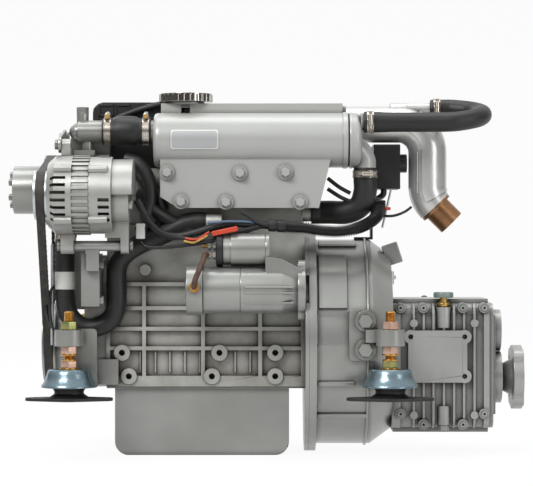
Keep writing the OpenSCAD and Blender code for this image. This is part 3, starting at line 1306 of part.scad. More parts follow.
// Belt round the three pulleys, as the outline of three circles and their tangents
belt_circles = [[0, crank_h, crank_pulley_r], [0, pump_z, pump_pulley_r], [-alt_y, alt_z, alt_pulley_r]];
belt_steps = 28;
function belt_way(i) = let (a = belt_circles[i], b = belt_circles[(i + 1) % 3], d = [b[0] - a[0], b[1] - a[1]])
    atan2(d[1], d[0]) - 90 + asin((a[2] - b[2]) / norm(d));
function belt_arc(i, less) = let (c = belt_circles[i], start = belt_way((i + 2) % 3),
    turn = (belt_way(i) - start + 720) % 360)
    [for (k = [0 : belt_steps]) let (a = start + turn * k / belt_steps)
        [c[0] + (c[2] - less) * cos(a), c[1] + (c[2] - less) * sin(a)]];
module belt_outline(less) polygon([for (i = [0 : 2]) each belt_arc(i, less)]);
module drive_belt() color("#202021") translate([-belt_x - belt_w / 2, 0, 0]) rotate([90, 0, 90])
    linear_extrude(height = belt_w) difference() {
        belt_outline(0);
        belt_outline(belt_t);
    }

// Starter motor on the front face of the rear plate
drive_x0 = block_x1 - drive_len;
starter_x0 = drive_x0 - starter_len;
starter_cap = 26;
starter_step = 2;
solenoid_z = starter_z + solenoid_dz;
solenoid_x0 = drive_x0 - 27;
solenoid_x1 = drive_x0 + 39;
drive_r = 37;
drive_flange_t = 12;
drive_ear = 70;
drive_ear_r = 12;
terminal_r = 4;
terminal_len = 12;
module starter_body() color("#a9aba9") {
    xcyl(starter_x0 + starter_cap, drive_x0, -starter_y, starter_z, starter_body_r);
    xcyl(starter_x0, starter_x0 + starter_cap - over / 2, -starter_y, starter_z, starter_r - starter_step / 2);
    xcyl(starter_x0 + starter_cap - over, starter_x0 + starter_cap, -starter_y, starter_z,
        starter_body_r - starter_step);
    xcyl(starter_x0 - starter_step, starter_x0, -starter_y, starter_z, starter_r / 3);
    ycyl(-starter_y - starter_r - terminal_r, -starter_y, starter_x0 + starter_cap / 2,
        starter_z + terminal_r, terminal_r * 2);
}
module starter_solenoid() color("#a9aba9") {
    xcyl(solenoid_x0 + terminal_len, solenoid_x1, -starter_y, solenoid_z, solenoid_r);
    xcyl(solenoid_x0, solenoid_x0 + terminal_len, -starter_y, solenoid_z, solenoid_r - starter_step);
    for (side = mirrored) xcyl(solenoid_x0 - terminal_len, solenoid_x0, -starter_y - terminal_len,
        solenoid_z + side * terminal_len, terminal_r);
}
nose_shares = [0.62];
hood_shares = [[0.383, 0], [0.383, 1], [0.64, 0.92], [0.94, 0.62], [0.94, 0]];
hood_h = 53;
hood_t = 7;
module starter_drive() color("#a3a5a2") difference() {
    union() {
        xcyl(drive_x0, drive_x0 + drive_len * nose_shares[0], -starter_y, starter_z, drive_r);
        xcone(drive_x0 + drive_len * nose_shares[0], block_x1 - drive_flange_t, -starter_y, starter_z,
            drive_r, drive_r * 0.8);
        translate([drive_x0, solenoid_r - starter_y, starter_z]) rotate([90, 0, 0])
            linear_extrude(height = solenoid_r * 2)
                polygon([for (s = hood_shares) [s[0] * drive_len, s[1] * hood_h]]);
        xcyl(solenoid_x1, solenoid_x1 + hood_t, -starter_y, solenoid_z, solenoid_r);
        xcyl(block_x1 - drive_flange_t, block_x1, -starter_y, starter_z, drive_r);
        for (side = mirrored) xcyl(block_x1 - drive_flange_t, block_x1, -starter_y,
            starter_z + side * drive_ear / 2, drive_ear_r);
    }
    xcyl(block_x1 - drive_flange_t * 3, block_x1 + over, -starter_y, starter_z, pinion_hole_r);
}

// Feet: brackets with lugs, cups, rubber springs on base plates, studs with nuts
stud_hole = stud_r + gap;
nut_af = 24;
nut_h = 13;
nut_in = 12.3;
base_nut_h = 12.7;
washer_r = 15;
washer_t = 2;
feet = [for (x = [-foot_front, -foot_rear], side = mirrored) [x, side]];
front_plate_y0 = 150;
front_plate_y1 = 142;
front_plate_out = 16;
front_plate_len = 56;
front_plate_x0 = -foot_front - front_plate_out;
front_plate_x1 = front_plate_x0 + front_plate_len;
front_plate_z0 = -6;
bracket_r = 6;
front_foot_len = 20;
front_foot_x1 = block_x0 + front_foot_len;
front_foot_z1 = 34;
front_arm_w = 34;
front_foot_t = 12;
module lug(x) zcyl(lug_top - lug_t, lug_top, x, -foot_y, lug_r);
module lug_bore(x) zcyl(lug_top - lug_t - over, lug_top + over, x, -foot_y, stud_hole);
module both_sides() {
    children();
    mirror([0, 1, 0]) children();
}
module front_brackets() color("#b3b5b2") both_sides() difference() {
    union() {
        lug(-foot_front);
        box(-foot_front - front_arm_w / 2, -foot_front + front_arm_w / 2, -foot_y, -front_plate_y1,
            lug_top - lug_t, lug_top);
        yblock(front_plate_x0, front_plate_x1, -front_plate_y0, -front_plate_y1, front_plate_z0,
            lug_top, bracket_r);
        box(front_plate_x0 + bracket_r, front_plate_x1, -front_plate_y1 - over, -block_hw,
            front_plate_z0, front_plate_z0 + front_foot_t);
        box(front_plate_x0 + bracket_r, front_foot_x1, -block_hw - boss_out - front_foot_t, -block_hw - boss_out,
            front_plate_z0, front_foot_z1);
        box(block_x0 + rib_w, front_foot_x1, -block_hw - boss_out - over, -block_hw, front_plate_z0,
            front_foot_z1 - rib_w);
    }
    lug_bore(-foot_front);
    zcyl(front_plate_z0 - over, cup_top, -foot_front, -foot_y, cup_r1 + gap);
    for (p = boss_places) ycyl(-block_hw - boss_out, over - block_hw, block_x0 + p[0], p[1], boss_r + gap);
}
rear_base_lap = 6;
rear_base_len = 44;
rear_base_x0 = pad_x1 - rear_base_lap;
rear_base_x1 = rear_base_x0 + rear_base_len;
rear_base_z0 = 35;
rear_base_z1 = 114;
rear_base_t = 12;
rear_arm_t = 20;
rear_bolt_in = 25;
rear_bolt_x = rear_base_x0 + rear_bolt_in;
rear_bolt_inset = 17;
rear_bolt_r = 16;
rear_bolt_af = 19;
rear_bolt_t = 9;
module rear_brackets() color("#b3b5b2") both_sides() {
    difference() {
        union() {
            lug(-foot_rear);
            yblock(rear_base_x0, rear_base_x1, -pad_y - rear_base_t, -pad_y, rear_base_z0, rear_base_z1,
                bracket_r);
            for (z = [rear_base_z0 + rear_bolt_inset, rear_base_z1 - rear_bolt_inset])
                ycyl(-pad_y - rear_arm_t, -pad_y, rear_bolt_x, z, rear_bolt_r);
            box(rear_bolt_x, -foot_rear, -foot_y, -pad_y - rear_base_t + over, lug_top - rear_arm_t, lug_top);
            box(rear_base_x1 - over, -foot_rear, -foot_y, lug_r - foot_y, lug_top - rear_arm_t, lug_top);
        }
        lug_bore(-foot_rear);
        xcyl(bell_x1, bell_x2, 0, crank_h, bell_r + gap);
        xcone(bell_x2, bell_x3, 0, crank_h, bell_r + gap, bell_rear_r + gap);
    }
    for (z = [rear_base_z0 + rear_bolt_inset, rear_base_z1 - rear_bolt_inset])
        yhex(-pad_y - rear_arm_t - rear_bolt_t, -pad_y - rear_arm_t, rear_bolt_x, z, rear_bolt_af);
}
cup_t = 2.5;
cup_band = 6;
module mount_cups() color("#7d93a0") for (f = feet) translate([f[0], f[1] * foot_y, 0]) rotate_extrude()
    difference() {
        polygon([[stud_hole, cup_top], [cup_r0 - cup_t, cup_top], [cup_r0, cup_top - cup_t],
            [cup_r1 - cup_band, cup_top - cup_h * 0.6], [cup_r1 - cup_t, cup_top - cup_h + cup_band],
            [cup_r1, cup_top - cup_h + cup_t], [cup_r1, cup_top - cup_h], [stud_hole, cup_top - cup_h]]);
        polygon([[stud_hole - over, cup_top - cup_t], [cup_r0 - cup_t * 2, cup_top - cup_t],
            [cup_r1 - cup_band - cup_t, cup_top - cup_h * 0.6], [cup_r1 - cup_t, cup_top - cup_h - over],
            [stud_hole - over, cup_top - cup_h - over]]);
    }
base_z = -base_drop;
rubber_waist = 23;
rubber_top_r = 27;
rubber_foot_r = 32;
base_hw = 34;
base_end_r = 14;
stud_z0 = base_z + base_t + 2;
module mount_rubbers() color("#161616") for (f = feet) translate([f[0], f[1] * foot_y, 0]) difference() {
    union() {
        rotate_extrude() polygon([[0, cup_top - cup_t], [rubber_top_r, cup_top - cup_t],
            [rubber_top_r, cup_top - cup_h], [rubber_waist, cup_top - cup_h - cup_band],
            [rubber_waist, base_z + base_t + cup_band], [rubber_foot_r, base_z + base_t], [0, base_z + base_t]]);
        translate([0, 0, base_z]) linear_extrude(height = base_t) {
            circle(r = base_hw);
            for (side = mirrored) translate([side * (base_half - base_end_r), 0]) circle(r = base_end_r);
            for (side = mirrored, up = mirrored) polygon([[0, 0], [0, up * base_hw],
                [side * base_half * 0.26, up * base_hw * 0.88],
                [side * (base_half - base_end_r * 0.6), up * base_end_r * 0.9],
                [side * (base_half - base_end_r), 0]]);
        }
    }
    zcyl(stud_z0 - gap, cup_top, 0, 0, stud_hole);
    for (side = mirrored) zcyl(base_z - over, base_z + base_t + cup_band, side * base_holes / 2, 0, base_hole_r);
}
module mount_studs() color("#c79a4b") for (f = feet) translate([f[0], f[1] * foot_y, 0]) {
    zcyl(stud_z0, stud_top, 0, 0, stud_r);
    zhex(cup_top + washer_t, cup_top + base_nut_h, 0, 0, nut_af);
    zcyl(cup_top, cup_top + washer_t, 0, 0, washer_r);
    zhex(lug_top - lug_t - nut_in, lug_top - lug_t, 0, 0, nut_af);
    zhex(lug_top, lug_top + nut_h, 0, 0, nut_af);
}

// Wiring: the loom along the side, the braided starter lead, the lead to the rear
loom_r = 6;
lead_r = 4.5;
loom_route = [[-264, -150, 286], [-251, -150, 262], [-233, -150, 238], [-205, -150, 229],
    [-175, -150, 234], [-145, -148, 243], [-115, -146, 249], [-85, -145, 248], [-55, -144, 246],
    [-20, -140, 243]];
starter_route = [[-190, -155, 247], [-165, -172, 236], [-156, -192, 216], [-155, -201, 196],
    [-163, -205, 176], [-172, -206, 161], [-173, -201, 150], [-173, -198, 150], [-173, -195, 150]];
rear_route = [[114, -58, 283], [117, -42, 289], [125, -29, 294], [129, -26, 299], [129, -26, 302.5],
    [129, -26, 306]];
conduit_route = [[-20, -140, 243], [0, -140, 242], [25, -140, 238], [55, -140, 237], [85, -136, 243],
    [109, -118, 256], [119, -92, 270], [117, -72, 279], [114, -58, 283]];
joiner_r = 9;
joiner_len = 26;
connector_w = 12;
connector_len = 40;
module wiring_loom() color("#151515") translate([block_x1, 0, 0]) {
    tube(route(loom_route, 2), loom_r, [0.2, 1, 0.3], 8);
    tube(route(rear_route, 2), loom_r - over, [0.2, 1, 0.3], 8);
    tube(route(starter_route, 2), lead_r, [0.6, 0.3, 0.7], 8);
    xcyl(loom_route[8][0] - joiner_len / 2, loom_route[8][0] + joiner_len / 2, loom_route[8][1],
        loom_route[8][2], joiner_r);
    box(loom_route[5][0] - connector_len / 2, loom_route[5][0] + connector_len / 2,
        loom_route[5][1] - connector_w / 2, loom_route[5][1] + connector_w / 2,
        loom_route[5][2], loom_route[5][2] + connector_w);
}

// Ribbed conduit: an open tube whose wall swells at every rib
conduit_r = 9.5;
conduit_rib_h = 1.5;
conduit_wall = 1.2;
conduit_ribs = 44;
conduit_bore = conduit_r - conduit_rib_h - conduit_wall;
conduit_sides = 8;
function along(p, s) = let (i = min(floor(s), len(p) - 2), t = s - i) p[i] * (1 - t) + p[i + 1] * t;
module loom_conduit() color("#121212") translate([block_x1, 0, 0]) {
    smooth = route(conduit_route, 4);
    spans = len(smooth) - 1;
    rings = 2 * conduit_ribs;
    path = [for (i = [0 : rings]) along(smooth, spans * i / rings)];
    n = conduit_sides;
    outer = [for (i = [0 : rings]) each ring(path[i], heading(path, i), [0.1, 0.3, 1],
        conduit_r - (i % 2 == 0 ? conduit_rib_h : 0), n)];
    inner = [for (i = [0 : rings]) each ring(path[i], heading(path, i), [0.1, 0.3, 1], conduit_bore, n)];
    shift = len(outer);
    skin = [for (i = [0 : rings - 1], k = [0 : n - 1]) each
        [[i * n + k, i * n + (k + 1) % n, (i + 1) * n + (k + 1) % n],
         [i * n + k, (i + 1) * n + (k + 1) % n, (i + 1) * n + k]]];
    lining = [for (f = skin) [f[2] + shift, f[1] + shift, f[0] + shift]];
    mouth = [for (k = [0 : n - 1]) each [[(k + 1) % n, k, shift + k],
        [(k + 1) % n, shift + k, shift + (k + 1) % n]]];
    back = rings * n;
    tail = [for (k = [0 : n - 1]) each [[back + k, back + (k + 1) % n, shift + back + k],
        [back + (k + 1) % n, shift + back + (k + 1) % n, shift + back + k]]];
    polyhedron(points = concat(outer, inner), faces = concat(skin, lining, mouth, tail));
}

// Control box behind the head, on its bracket
control_back = 112;
control_len = 43;
control_x0 = block_x1 + control_back;
control_x1 = control_x0 + control_len;
control_y0 = -45;
control_y1 = 40;
control_z0 = 306;
control_z1 = 378;
control_r = 4;
control_post = 15;
control_post_t = 4;
control_knob = 12;
bell_top = crank_h + bell_r;
module control_box() color("#111111") {
    xblock(control_x0, control_x1, control_y0, control_y1, control_z0, control_z1, control_r);
    box(control_x0 - control_post_t, control_x0, -control_post, control_post, bell_top, control_z1 - control_post);
    box(control_x0 - control_post * 2, control_x0 - control_post_t + over, -control_post, control_post,
        bell_top, bell_top + control_post_t);
    xcyl(control_x1, control_x1 + control_knob, -control_post, control_z1 - control_post * 2, control_post);
}

// Far side: intake manifold, injection pump with its levers, injectors and lines, oil filter
intake_y0 = head_w / 2 + glow_up;
intake_w = 38;
intake_y1 = intake_y0 + intake_w;
intake_over = 30;
intake_r = 8;
intake_h = 38;
module intake_manifold() color("#a3a5a2") difference() {
    union() {
        yblock(bore_xs[0] - intake_over, bore_xs[2] + intake_over, intake_y0, intake_y1,
            port_z - intake_h / 2, port_z + intake_h / 2, intake_r);
        for (x = bore_xs) ycyl(head_w / 2, intake_y0 + over, x, port_z, port_r + glow_r);
        xcyl(bore_xs[2] + intake_over - over, bore_xs[2] + intake_over * 2, (intake_y0 + intake_y1) / 2,
            port_z, port_r + glow_r);
    }
    for (x = bore_xs) ycyl(head_w / 2 - over, intake_y0 + intake_r, x, port_z, port_r);
    xcyl(bore_xs[2], bore_xs[2] + intake_over * 2 + over, (intake_y0 + intake_y1) / 2, port_z, port_r);
}
inject_set = 31;
inject_len = 95;
inject_x0 = block_x0 + inject_set;
inject_x1 = inject_x0 + inject_len;
inject_y0 = body_hw - jacket_step;
inject_y1 = 135;
inject_z0 = rib_heights[3] + rib_w;
inject_z1 = 215;
inject_r = 8;
outlet_h = 14;
line_pitch = 24;
lever_pin_r = 5;
lever_pin_len = 14;
throttle_in = 65;
stop_in = 25;
throttle_x = inject_x0 + throttle_in;
stop_x = inject_x0 + stop_in;
lever_pin_z = 188;
module injection_pump() color("#9a9c9a") difference() {
    union() {
        yblock(inject_x0, inject_x1, inject_y0, inject_y1, inject_z0, inject_z1, inject_r);
        for (i = [0 : 2]) zcyl(inject_z1 - over, inject_z1 + outlet_h, inject_x0 + line_pitch * (i + 1),
            (inject_y0 + inject_y1) / 2, inject_r);
        for (x = [throttle_x, stop_x]) ycyl(inject_y1 - over, inject_y1 + lever_pin_len / 2, x, lever_pin_z,
            lever_pin_r * 2);
    }
    for (x = [throttle_x, stop_x]) ycyl(inject_y1 - lever_pin_len, inject_y1 + lever_pin_len, x,
        lever_pin_z, lever_pin_r + run_fit);
}
small_arm = 34;
small_arm_w = 10;
small_arm_t = 4;
small_hole_r = 2;
module pump_lever(x) {
    y = inject_y1 + lever_pin_len / 2 + gap;
    ycyl(inject_y1 - lever_pin_len + over, y + over, x, lever_pin_z, lever_pin_r);
    lever_arm(x, y, lever_pin_z, small_arm, small_arm_w, small_arm_t, small_hole_r);
}
module throttle_lever() color("#8b8d8e") pump_lever(throttle_x);
module stop_lever() color("#8b8d8e") pump_lever(stop_x);
line_r = 3;
injector_y = 66;
injector_r = 7;
injector_h = 22;
line_out = 140;
module injector_lines() color("#9fa2a3") for (i = [0 : 2]) {
    x = inject_x0 + line_pitch * (i + 1);
    y = (inject_y0 + inject_y1) / 2;
    zcyl(head_top, head_top + injector_h, bore_xs[i], injector_y, injector_r);
    tube(route([[x, y, inject_z1 + outlet_h], [x, y, inject_z1 + outlet_h * 1.5],
        [x, y, inject_z1 + outlet_h * 2],
        [(x + bore_xs[i]) / 2, line_out, port_z - intake_h / 2], [bore_xs[i], line_out, port_z + intake_h / 2],
        [bore_xs[i], line_out - line_pitch, head_top + injector_h],
        [bore_xs[i], injector_y + injector_r + line_pitch, head_top + injector_h * 1.4],
        [bore_xs[i], injector_y + line_r, head_top + injector_h * 1.3],
        [bore_xs[i], injector_y, head_top + injector_h]], 2), line_r, [1, 0.3, 0.1], 8);
}
filter_set = 111;
filter_x = block_x0 + filter_set;
filter_z = 70;
filter_r = 36;
filter_len = 82;
filter_seat = 8;
module oil_filter() color("#2a2c2e") {
    ycyl(block_hw, block_hw + filter_seat + over, filter_x, filter_z, filter_r * 0.7);
    ycyl(block_hw + filter_seat, block_hw + filter_seat + filter_len, filter_x, filter_z, filter_r);
}

// Gearbox dipstick: rod, brass collar, neck and plug
rod_r = 4;
rod_z0 = 30;
collar_r = 10;
collar_h = 6;
neck_h = 9;
neck_stick_r = 6;
plug_r = 16;
plug_h = 9;
module dip_hole() zcyl(rod_z0 - gap, dip_boss_z1 + box_rib_h * 2, dip_x, -dip_y, rod_r + shaft_gap);
module dipstick() color("#8a9a86") {
    zcyl(rod_z0, dip_boss_z1 + over, dip_x, -dip_y, rod_r);
    zcyl(dip_boss_z1 + gap * 2, dip_boss_z1 + collar_h, dip_x, -dip_y, collar_r);
    zcyl(dip_boss_z1 + collar_h, dip_boss_z1 + collar_h + neck_h, dip_x, -dip_y, neck_stick_r);
    zcyl(dip_boss_z1 + collar_h + neck_h, dip_boss_z1 + collar_h + neck_h + plug_h, dip_x, -dip_y, plug_r);
}

engine_block();
main_caps();
cylinder_head();
rocker_cover();
oil_pan();
timing_cover();
rear_plate();
bell_housing();
gearbox_case();
gearbox_side_cover();
gearbox_end_cover();
gearbox_bolts();
exchanger_body();
exchanger_caps();
tube_stack();
manifold_bolts();
exhaust_elbow();
exhaust_outlet();
riser_hose();
down_hose();
coolant_hose();
thermostat_housing();
thermostat_hose();
hose_clamps();
alternator_front();
alternator_stator();
alternator_rear();
alternator_brackets();
starter_body();
starter_solenoid();
starter_drive();
front_brackets();
rear_brackets();
mount_cups();
mount_rubbers();
mount_studs();
wiring_loom();
loom_conduit();
control_box();
intake_manifold();
injection_pump();
injector_lines();
oil_filter();
water_pump();
drive_belt();
crankshaft();
flywheel();
crank_pulley();
camshaft();
pump_pulley();
alternator_rotor();
piston_1();
piston_2();
piston_3();
output_shaft();
shift_lever();
throttle_lever();
stop_lever();
coolant_cap();
dipstick();
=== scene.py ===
# Looks of the marine diesel engine: paint, rubber, metal and small fittings around the fixed CAD frame
import math

import bpy
from mathutils import Matrix, Vector
from mathutils.bvhtree import BVHTree


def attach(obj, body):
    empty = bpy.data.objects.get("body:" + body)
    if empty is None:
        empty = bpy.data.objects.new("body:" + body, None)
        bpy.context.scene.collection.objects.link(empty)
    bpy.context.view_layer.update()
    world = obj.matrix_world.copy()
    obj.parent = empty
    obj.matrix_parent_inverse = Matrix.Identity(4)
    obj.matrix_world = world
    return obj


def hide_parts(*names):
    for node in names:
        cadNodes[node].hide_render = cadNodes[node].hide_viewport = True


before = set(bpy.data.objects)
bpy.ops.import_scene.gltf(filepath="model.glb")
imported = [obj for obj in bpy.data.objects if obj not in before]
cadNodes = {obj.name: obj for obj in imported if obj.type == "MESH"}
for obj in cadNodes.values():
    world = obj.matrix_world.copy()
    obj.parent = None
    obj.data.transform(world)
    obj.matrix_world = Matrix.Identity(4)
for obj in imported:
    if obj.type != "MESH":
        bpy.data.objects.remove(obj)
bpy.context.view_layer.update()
mm = 0.001
spinWeld = 0.00001  # metres within which the ends of a spun profile close
xWay, zWay = Vector((1, 0, 0)), Vector((0, 0, 1))
nearWay = Vector((0, -1, 0))  # towards the camera


# Small helpers that every piece uses. Places are given in millimetres.
def deselectAll():
    if bpy.context.object and bpy.context.object.mode != "OBJECT":
        bpy.ops.object.mode_set(mode="OBJECT")
    bpy.ops.object.select_all(action="DESELECT")


def pickOnly(piece):
    deselectAll()
    piece.select_set(True)
    bpy.context.view_layer.objects.active = piece


def newPiece(name, points, links=(), faces=()):
    mesh = bpy.data.meshes.new(name)
    mesh.from_pydata(points, links, faces)
    piece = bpy.data.objects.new(name, mesh)
    bpy.context.scene.collection.objects.link(piece)
    pickOnly(piece)
    return piece


def turnOutward(piece):
    pickOnly(piece)
    bpy.ops.object.mode_set(mode="EDIT")
    bpy.ops.mesh.select_all(action="SELECT")
    bpy.ops.mesh.normals_make_consistent(inside=False)
    bpy.ops.object.mode_set(mode="OBJECT")
    return piece


def extruded(piece, width):
    # Draws a flat outline or sheet out along X, by a width in metres
    pickOnly(piece)
    bpy.ops.object.mode_set(mode="EDIT")
    bpy.ops.mesh.select_all(action="SELECT")
    bpy.ops.mesh.extrude_region_move(TRANSFORM_OT_translate={"value": (width, 0, 0)})
    bpy.ops.object.mode_set(mode="OBJECT")
    return turnOutward(piece)


def settle(piece):
    pickOnly(piece)
    bpy.ops.object.transform_apply(location=True, rotation=True, scale=True)
    return piece


def applyModifier(piece, kind, **values):
    pickOnly(piece)
    modifier = piece.modifiers.new(kind.lower(), kind)
    for key, value in values.items():
        setattr(modifier, key, value)
    bpy.ops.object.modifier_apply(modifier=modifier.name)
    return piece


def roundEdges(piece, width, segments=2, angle=35):
    return applyModifier(piece, "BEVEL", width=width * mm, segments=segments, limit_method="ANGLE",
                         angle_limit=math.radians(angle), use_clamp_overlap=False, miter_outer="MITER_ARC")


def finishPiece(piece, name, material, body="engine", angle=40):
    pickOnly(piece)
    bpy.ops.object.shade_smooth_by_angle(angle=math.radians(angle))
    applyModifier(piece, "WEIGHTED_NORMAL", keep_sharp=True, weight=50)
    piece.name = name
    piece.data.name = name
    if material:
        piece.data.materials.clear()
        piece.data.materials.append(material)
    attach(piece, body)
    return piece


def paintPiece(piece, material):
    piece.data.materials.clear()
    piece.data.materials.append(material)
    return piece


def joinPieces(pieces):
    pickOnly(pieces[0])
    for piece in pieces[1:]:
        piece.select_set(True)
    if len(pieces) > 1:
        bpy.ops.object.join()
    return pieces[0]


def block(x0, x1, y0, y1, z0, z1, edge):
    bpy.ops.mesh.primitive_cube_add(size=1, location=Vector((x0 + x1, y0 + y1, z0 + z1)) / 2 * mm,
                                    scale=((x1 - x0) * mm, (y1 - y0) * mm, (z1 - z0) * mm))
    return roundEdges(settle(bpy.context.object), edge)


def rod(start, end, radius, radiusEnd=None, sides=40, edge=0.0):
    start, end = Vector(start) * mm, Vector(end) * mm
    way = end - start
    bpy.ops.mesh.primitive_cone_add(vertices=sides, radius1=radius * mm,
                                    radius2=(radius if radiusEnd is None else radiusEnd) * mm,
                                    depth=way.length, location=(start + end) / 2,
                                    rotation=way.to_track_quat("Z", "Y").to_euler())
    piece = settle(bpy.context.object)
    return roundEdges(piece, edge, 2, 40) if edge else piece


def turned(profile, start, way, steps=64, ring=False):
    # Spins a profile of (distance, radius) pairs about a line; a ring closes the profile on itself
    start, way = Vector(start) * mm, Vector(way).normalized()
    side = way.orthogonal().normalized()
    points = [start + way * d * mm + side * r * mm for d, r in profile]
    links = [(i, i + 1) for i in range(len(points) - 1)] + ([(len(points) - 1, 0)] if ring else [])
    piece = newPiece("turned", points, links)
    bpy.ops.object.mode_set(mode="EDIT")
    bpy.ops.mesh.select_all(action="SELECT")
    bpy.ops.mesh.spin(steps=steps, angle=2 * math.pi, center=start, axis=way)
    bpy.ops.mesh.select_all(action="SELECT")
    bpy.ops.mesh.remove_doubles(threshold=spinWeld)
    bpy.ops.object.mode_set(mode="OBJECT")
    return turnOutward(piece)


def movedCopy(piece, move):
    twin = piece.copy()
    twin.data = piece.data.copy()
    bpy.context.scene.collection.objects.link(twin)
    twin.data.transform(move)
    return twin


def repeatAt(piece, places):
    # Copies a piece made at the first of the places to each of them, and joins the copies
    copies = [movedCopy(piece, Matrix.Translation((Vector(p) - Vector(places[0])) * mm)) for p in places]
    bpy.data.objects.remove(piece)
    return joinPieces(copies)


def tiltedBlock(sizes, place, tilt, edge):
    # A block with its middle at a place, turned about Y by a tilt in degrees
    x, y, z = (size / 2 for size in sizes)
    piece = block(-x, x, -y, y, -z, z, edge)
    turn = Matrix.Rotation(math.radians(tilt), 4, "Y")
    piece.data.transform(Matrix.Translation(Vector(place) * mm) @ turn)
    return piece


def routeThrough(points, steps):
    # The same smooth route through points as the CAD uses
    def blend(a, b, c, d, t):
        return 0.5 * (2 * b + (c - a) * t + (2 * a - 5 * b + 4 * c - d) * t * t
                      + (3 * b - a - 3 * c + d) * t ** 3)
    p = [Vector(q) for q in points]
    last = len(p) - 1
    route = [blend(p[max(i - 1, 0)], p[i], p[i + 1], p[min(i + 2, last)], k / steps)
             for i in range(last) for k in range(steps)]
    return route + [p[last]]


def evenly(points, count):
    # Points at equal distances along a route
    lengths = [0.0]
    for a, b in zip(points, points[1:]):
        lengths.append(lengths[-1] + (b - a).length)
    result, j = [], 0
    for i in range(count):
        want = lengths[-1] * i / (count - 1)
        while j < len(points) - 2 and lengths[j + 1] < want:
            j += 1
        share = (want - lengths[j]) / max(lengths[j + 1] - lengths[j], 1e-9)
        result.append(points[j].lerp(points[j + 1], min(max(share, 0), 1)))
    return result


def tubeAlong(points, radius, sides=16, caps=True):
    # A curve with a round section, made a mesh; radius is one number or one for each point
    curve = bpy.data.curves.new("tube", "CURVE")
    curve.dimensions = "3D"
    curve.bevel_depth = mm
    curve.bevel_resolution = max(sides // 4 - 1, 1)
    curve.use_fill_caps = caps
    spline = curve.splines.new("POLY")
    spline.points.add(len(points) - 1)
    for i, p in enumerate(points):
        spline.points[i].co = (*(Vector(p) * mm), 1)
        spline.points[i].radius = radius[i] if isinstance(radius, (list, tuple)) else radius
    piece = bpy.data.objects.new("tube", curve)
    bpy.context.scene.collection.objects.link(piece)
    pickOnly(piece)
    bpy.ops.object.convert(target="MESH")
    return bpy.context.object


# Merging distance in metres, angle that still counts as flat, shares of the edge that are tried,
# and how far in mm a rounding may throw a point: a multiple of the edge and a bit more
rounding = {"merge": 0.00002, "flat": 1, "shares": (1, 0.6, 0.35, 0.2, 0.1), "stray": 1.5, "strayMore": 0.05}


def mergedCopy(node):
    # A copy of a CAD node with its loose triangles merged into clean faces
    piece = bpy.data.objects.new(node, cadNodes[node].data.copy())
    bpy.context.scene.collection.objects.link(piece)
    pickOnly(piece)
    bpy.ops.mesh.customdata_custom_splitnormals_clear()
    bpy.ops.object.mode_set(mode="EDIT")
    bpy.ops.mesh.select_all(action="SELECT")
    bpy.ops.mesh.remove_doubles(threshold=rounding["merge"])
    bpy.ops.mesh.dissolve_limited(angle_limit=math.radians(rounding["flat"]))
    bpy.ops.mesh.quads_convert_to_tris(quad_method="BEAUTY", ngon_method="BEAUTY")
    bpy.ops.object.mode_set(mode="OBJECT")
    return piece


def strayOf(piece, node):
    # How far, in mm, a point of the piece lies from the surface of its CAD node
    mesh = cadNodes[node].data
    tree = BVHTree.FromPolygons([v.co for v in mesh.vertices], [tuple(f.vertices) for f in mesh.polygons])
    return max(tree.find_nearest(v.co)[3] for v in piece.data.vertices) / mm


def roundedCopy(node, edge):
    # The widest rounding, up to edge, that throws no point far from the CAD surface
    for share in rounding["shares"]:
        piece = roundEdges(mergedCopy(node), edge * share)
        if strayOf(piece, node) < edge * share * rounding["stray"] + rounding["strayMore"]:
            print("rounded", node, round(edge * share, 2))
            return piece
        bpy.data.objects.remove(piece)
    print("left sharp", node)
    return mergedCopy(node)


flangeShape = {"height": 2.4, "headFrom": 2.2, "topShare": 0.9, "edge": 0.5, "sides": 32}


def hexHead(place, way, flats, height, flange=0.0, edge=0.7):
    # A hexagon head that stands on a place, with an optional round flange under it
    way = Vector(way)
    start = Vector(place)
    parts = []
    if flange:
        parts.append(rod(start, start + way * flangeShape["height"], flange, flange * flangeShape["topShare"],
                         flangeShape["sides"], flangeShape["edge"]))
        start = start + way * flangeShape["headFrom"]
    parts.append(rod(start, start + way * height, flats / math.sqrt(3), sides=6, edge=edge))
    return joinPieces(parts)


def newGroup(name, inputs, outputs):
    tree = bpy.data.node_groups.new(name, "ShaderNodeTree")
    for label, kind, value in inputs:
        socket = tree.interface.new_socket(name=label, in_out="INPUT", socket_type=kind)
        if value is not None:
            socket.default_value = value
    for label, kind in outputs:
        tree.interface.new_socket(name=label, in_out="OUTPUT", socket_type=kind)
    return tree, tree.nodes.new("NodeGroupInput"), tree.nodes.new("NodeGroupOutput")


def addNode(tree, kind, links=None, **values):
    node = tree.nodes.new("ShaderNode" + kind)
    for key, value in values.items():
        if hasattr(node, key):
            setattr(node, key, value)
        else:
            node.inputs[key.replace("_", " ").title()].default_value = value
    for socket, source in (links or {}).items():
        tree.links.new(source, node.inputs[socket])
    return node


# Values that the finishes share; the bump distance is in metres
finishLook = {"patchDetail": 5.0, "patchRange": (0.38, 0.72), "grainDetail": 3.0, "grainMiddle": 0.5,
              "bumpDistance": 0.0006, "cornerRange": (0.35, 0.95), "cornerSamples": 6, "coatRoughness": 0.2}


def mixColours(tree, share, first, second):
    mix = tree.nodes.new("ShaderNodeMix")
    mix.data_type = "RGBA"
    for socket, source in ((0, share), (6, first), (7, second)):
        tree.links.new(source, mix.inputs[socket])
    return mix.outputs[2]


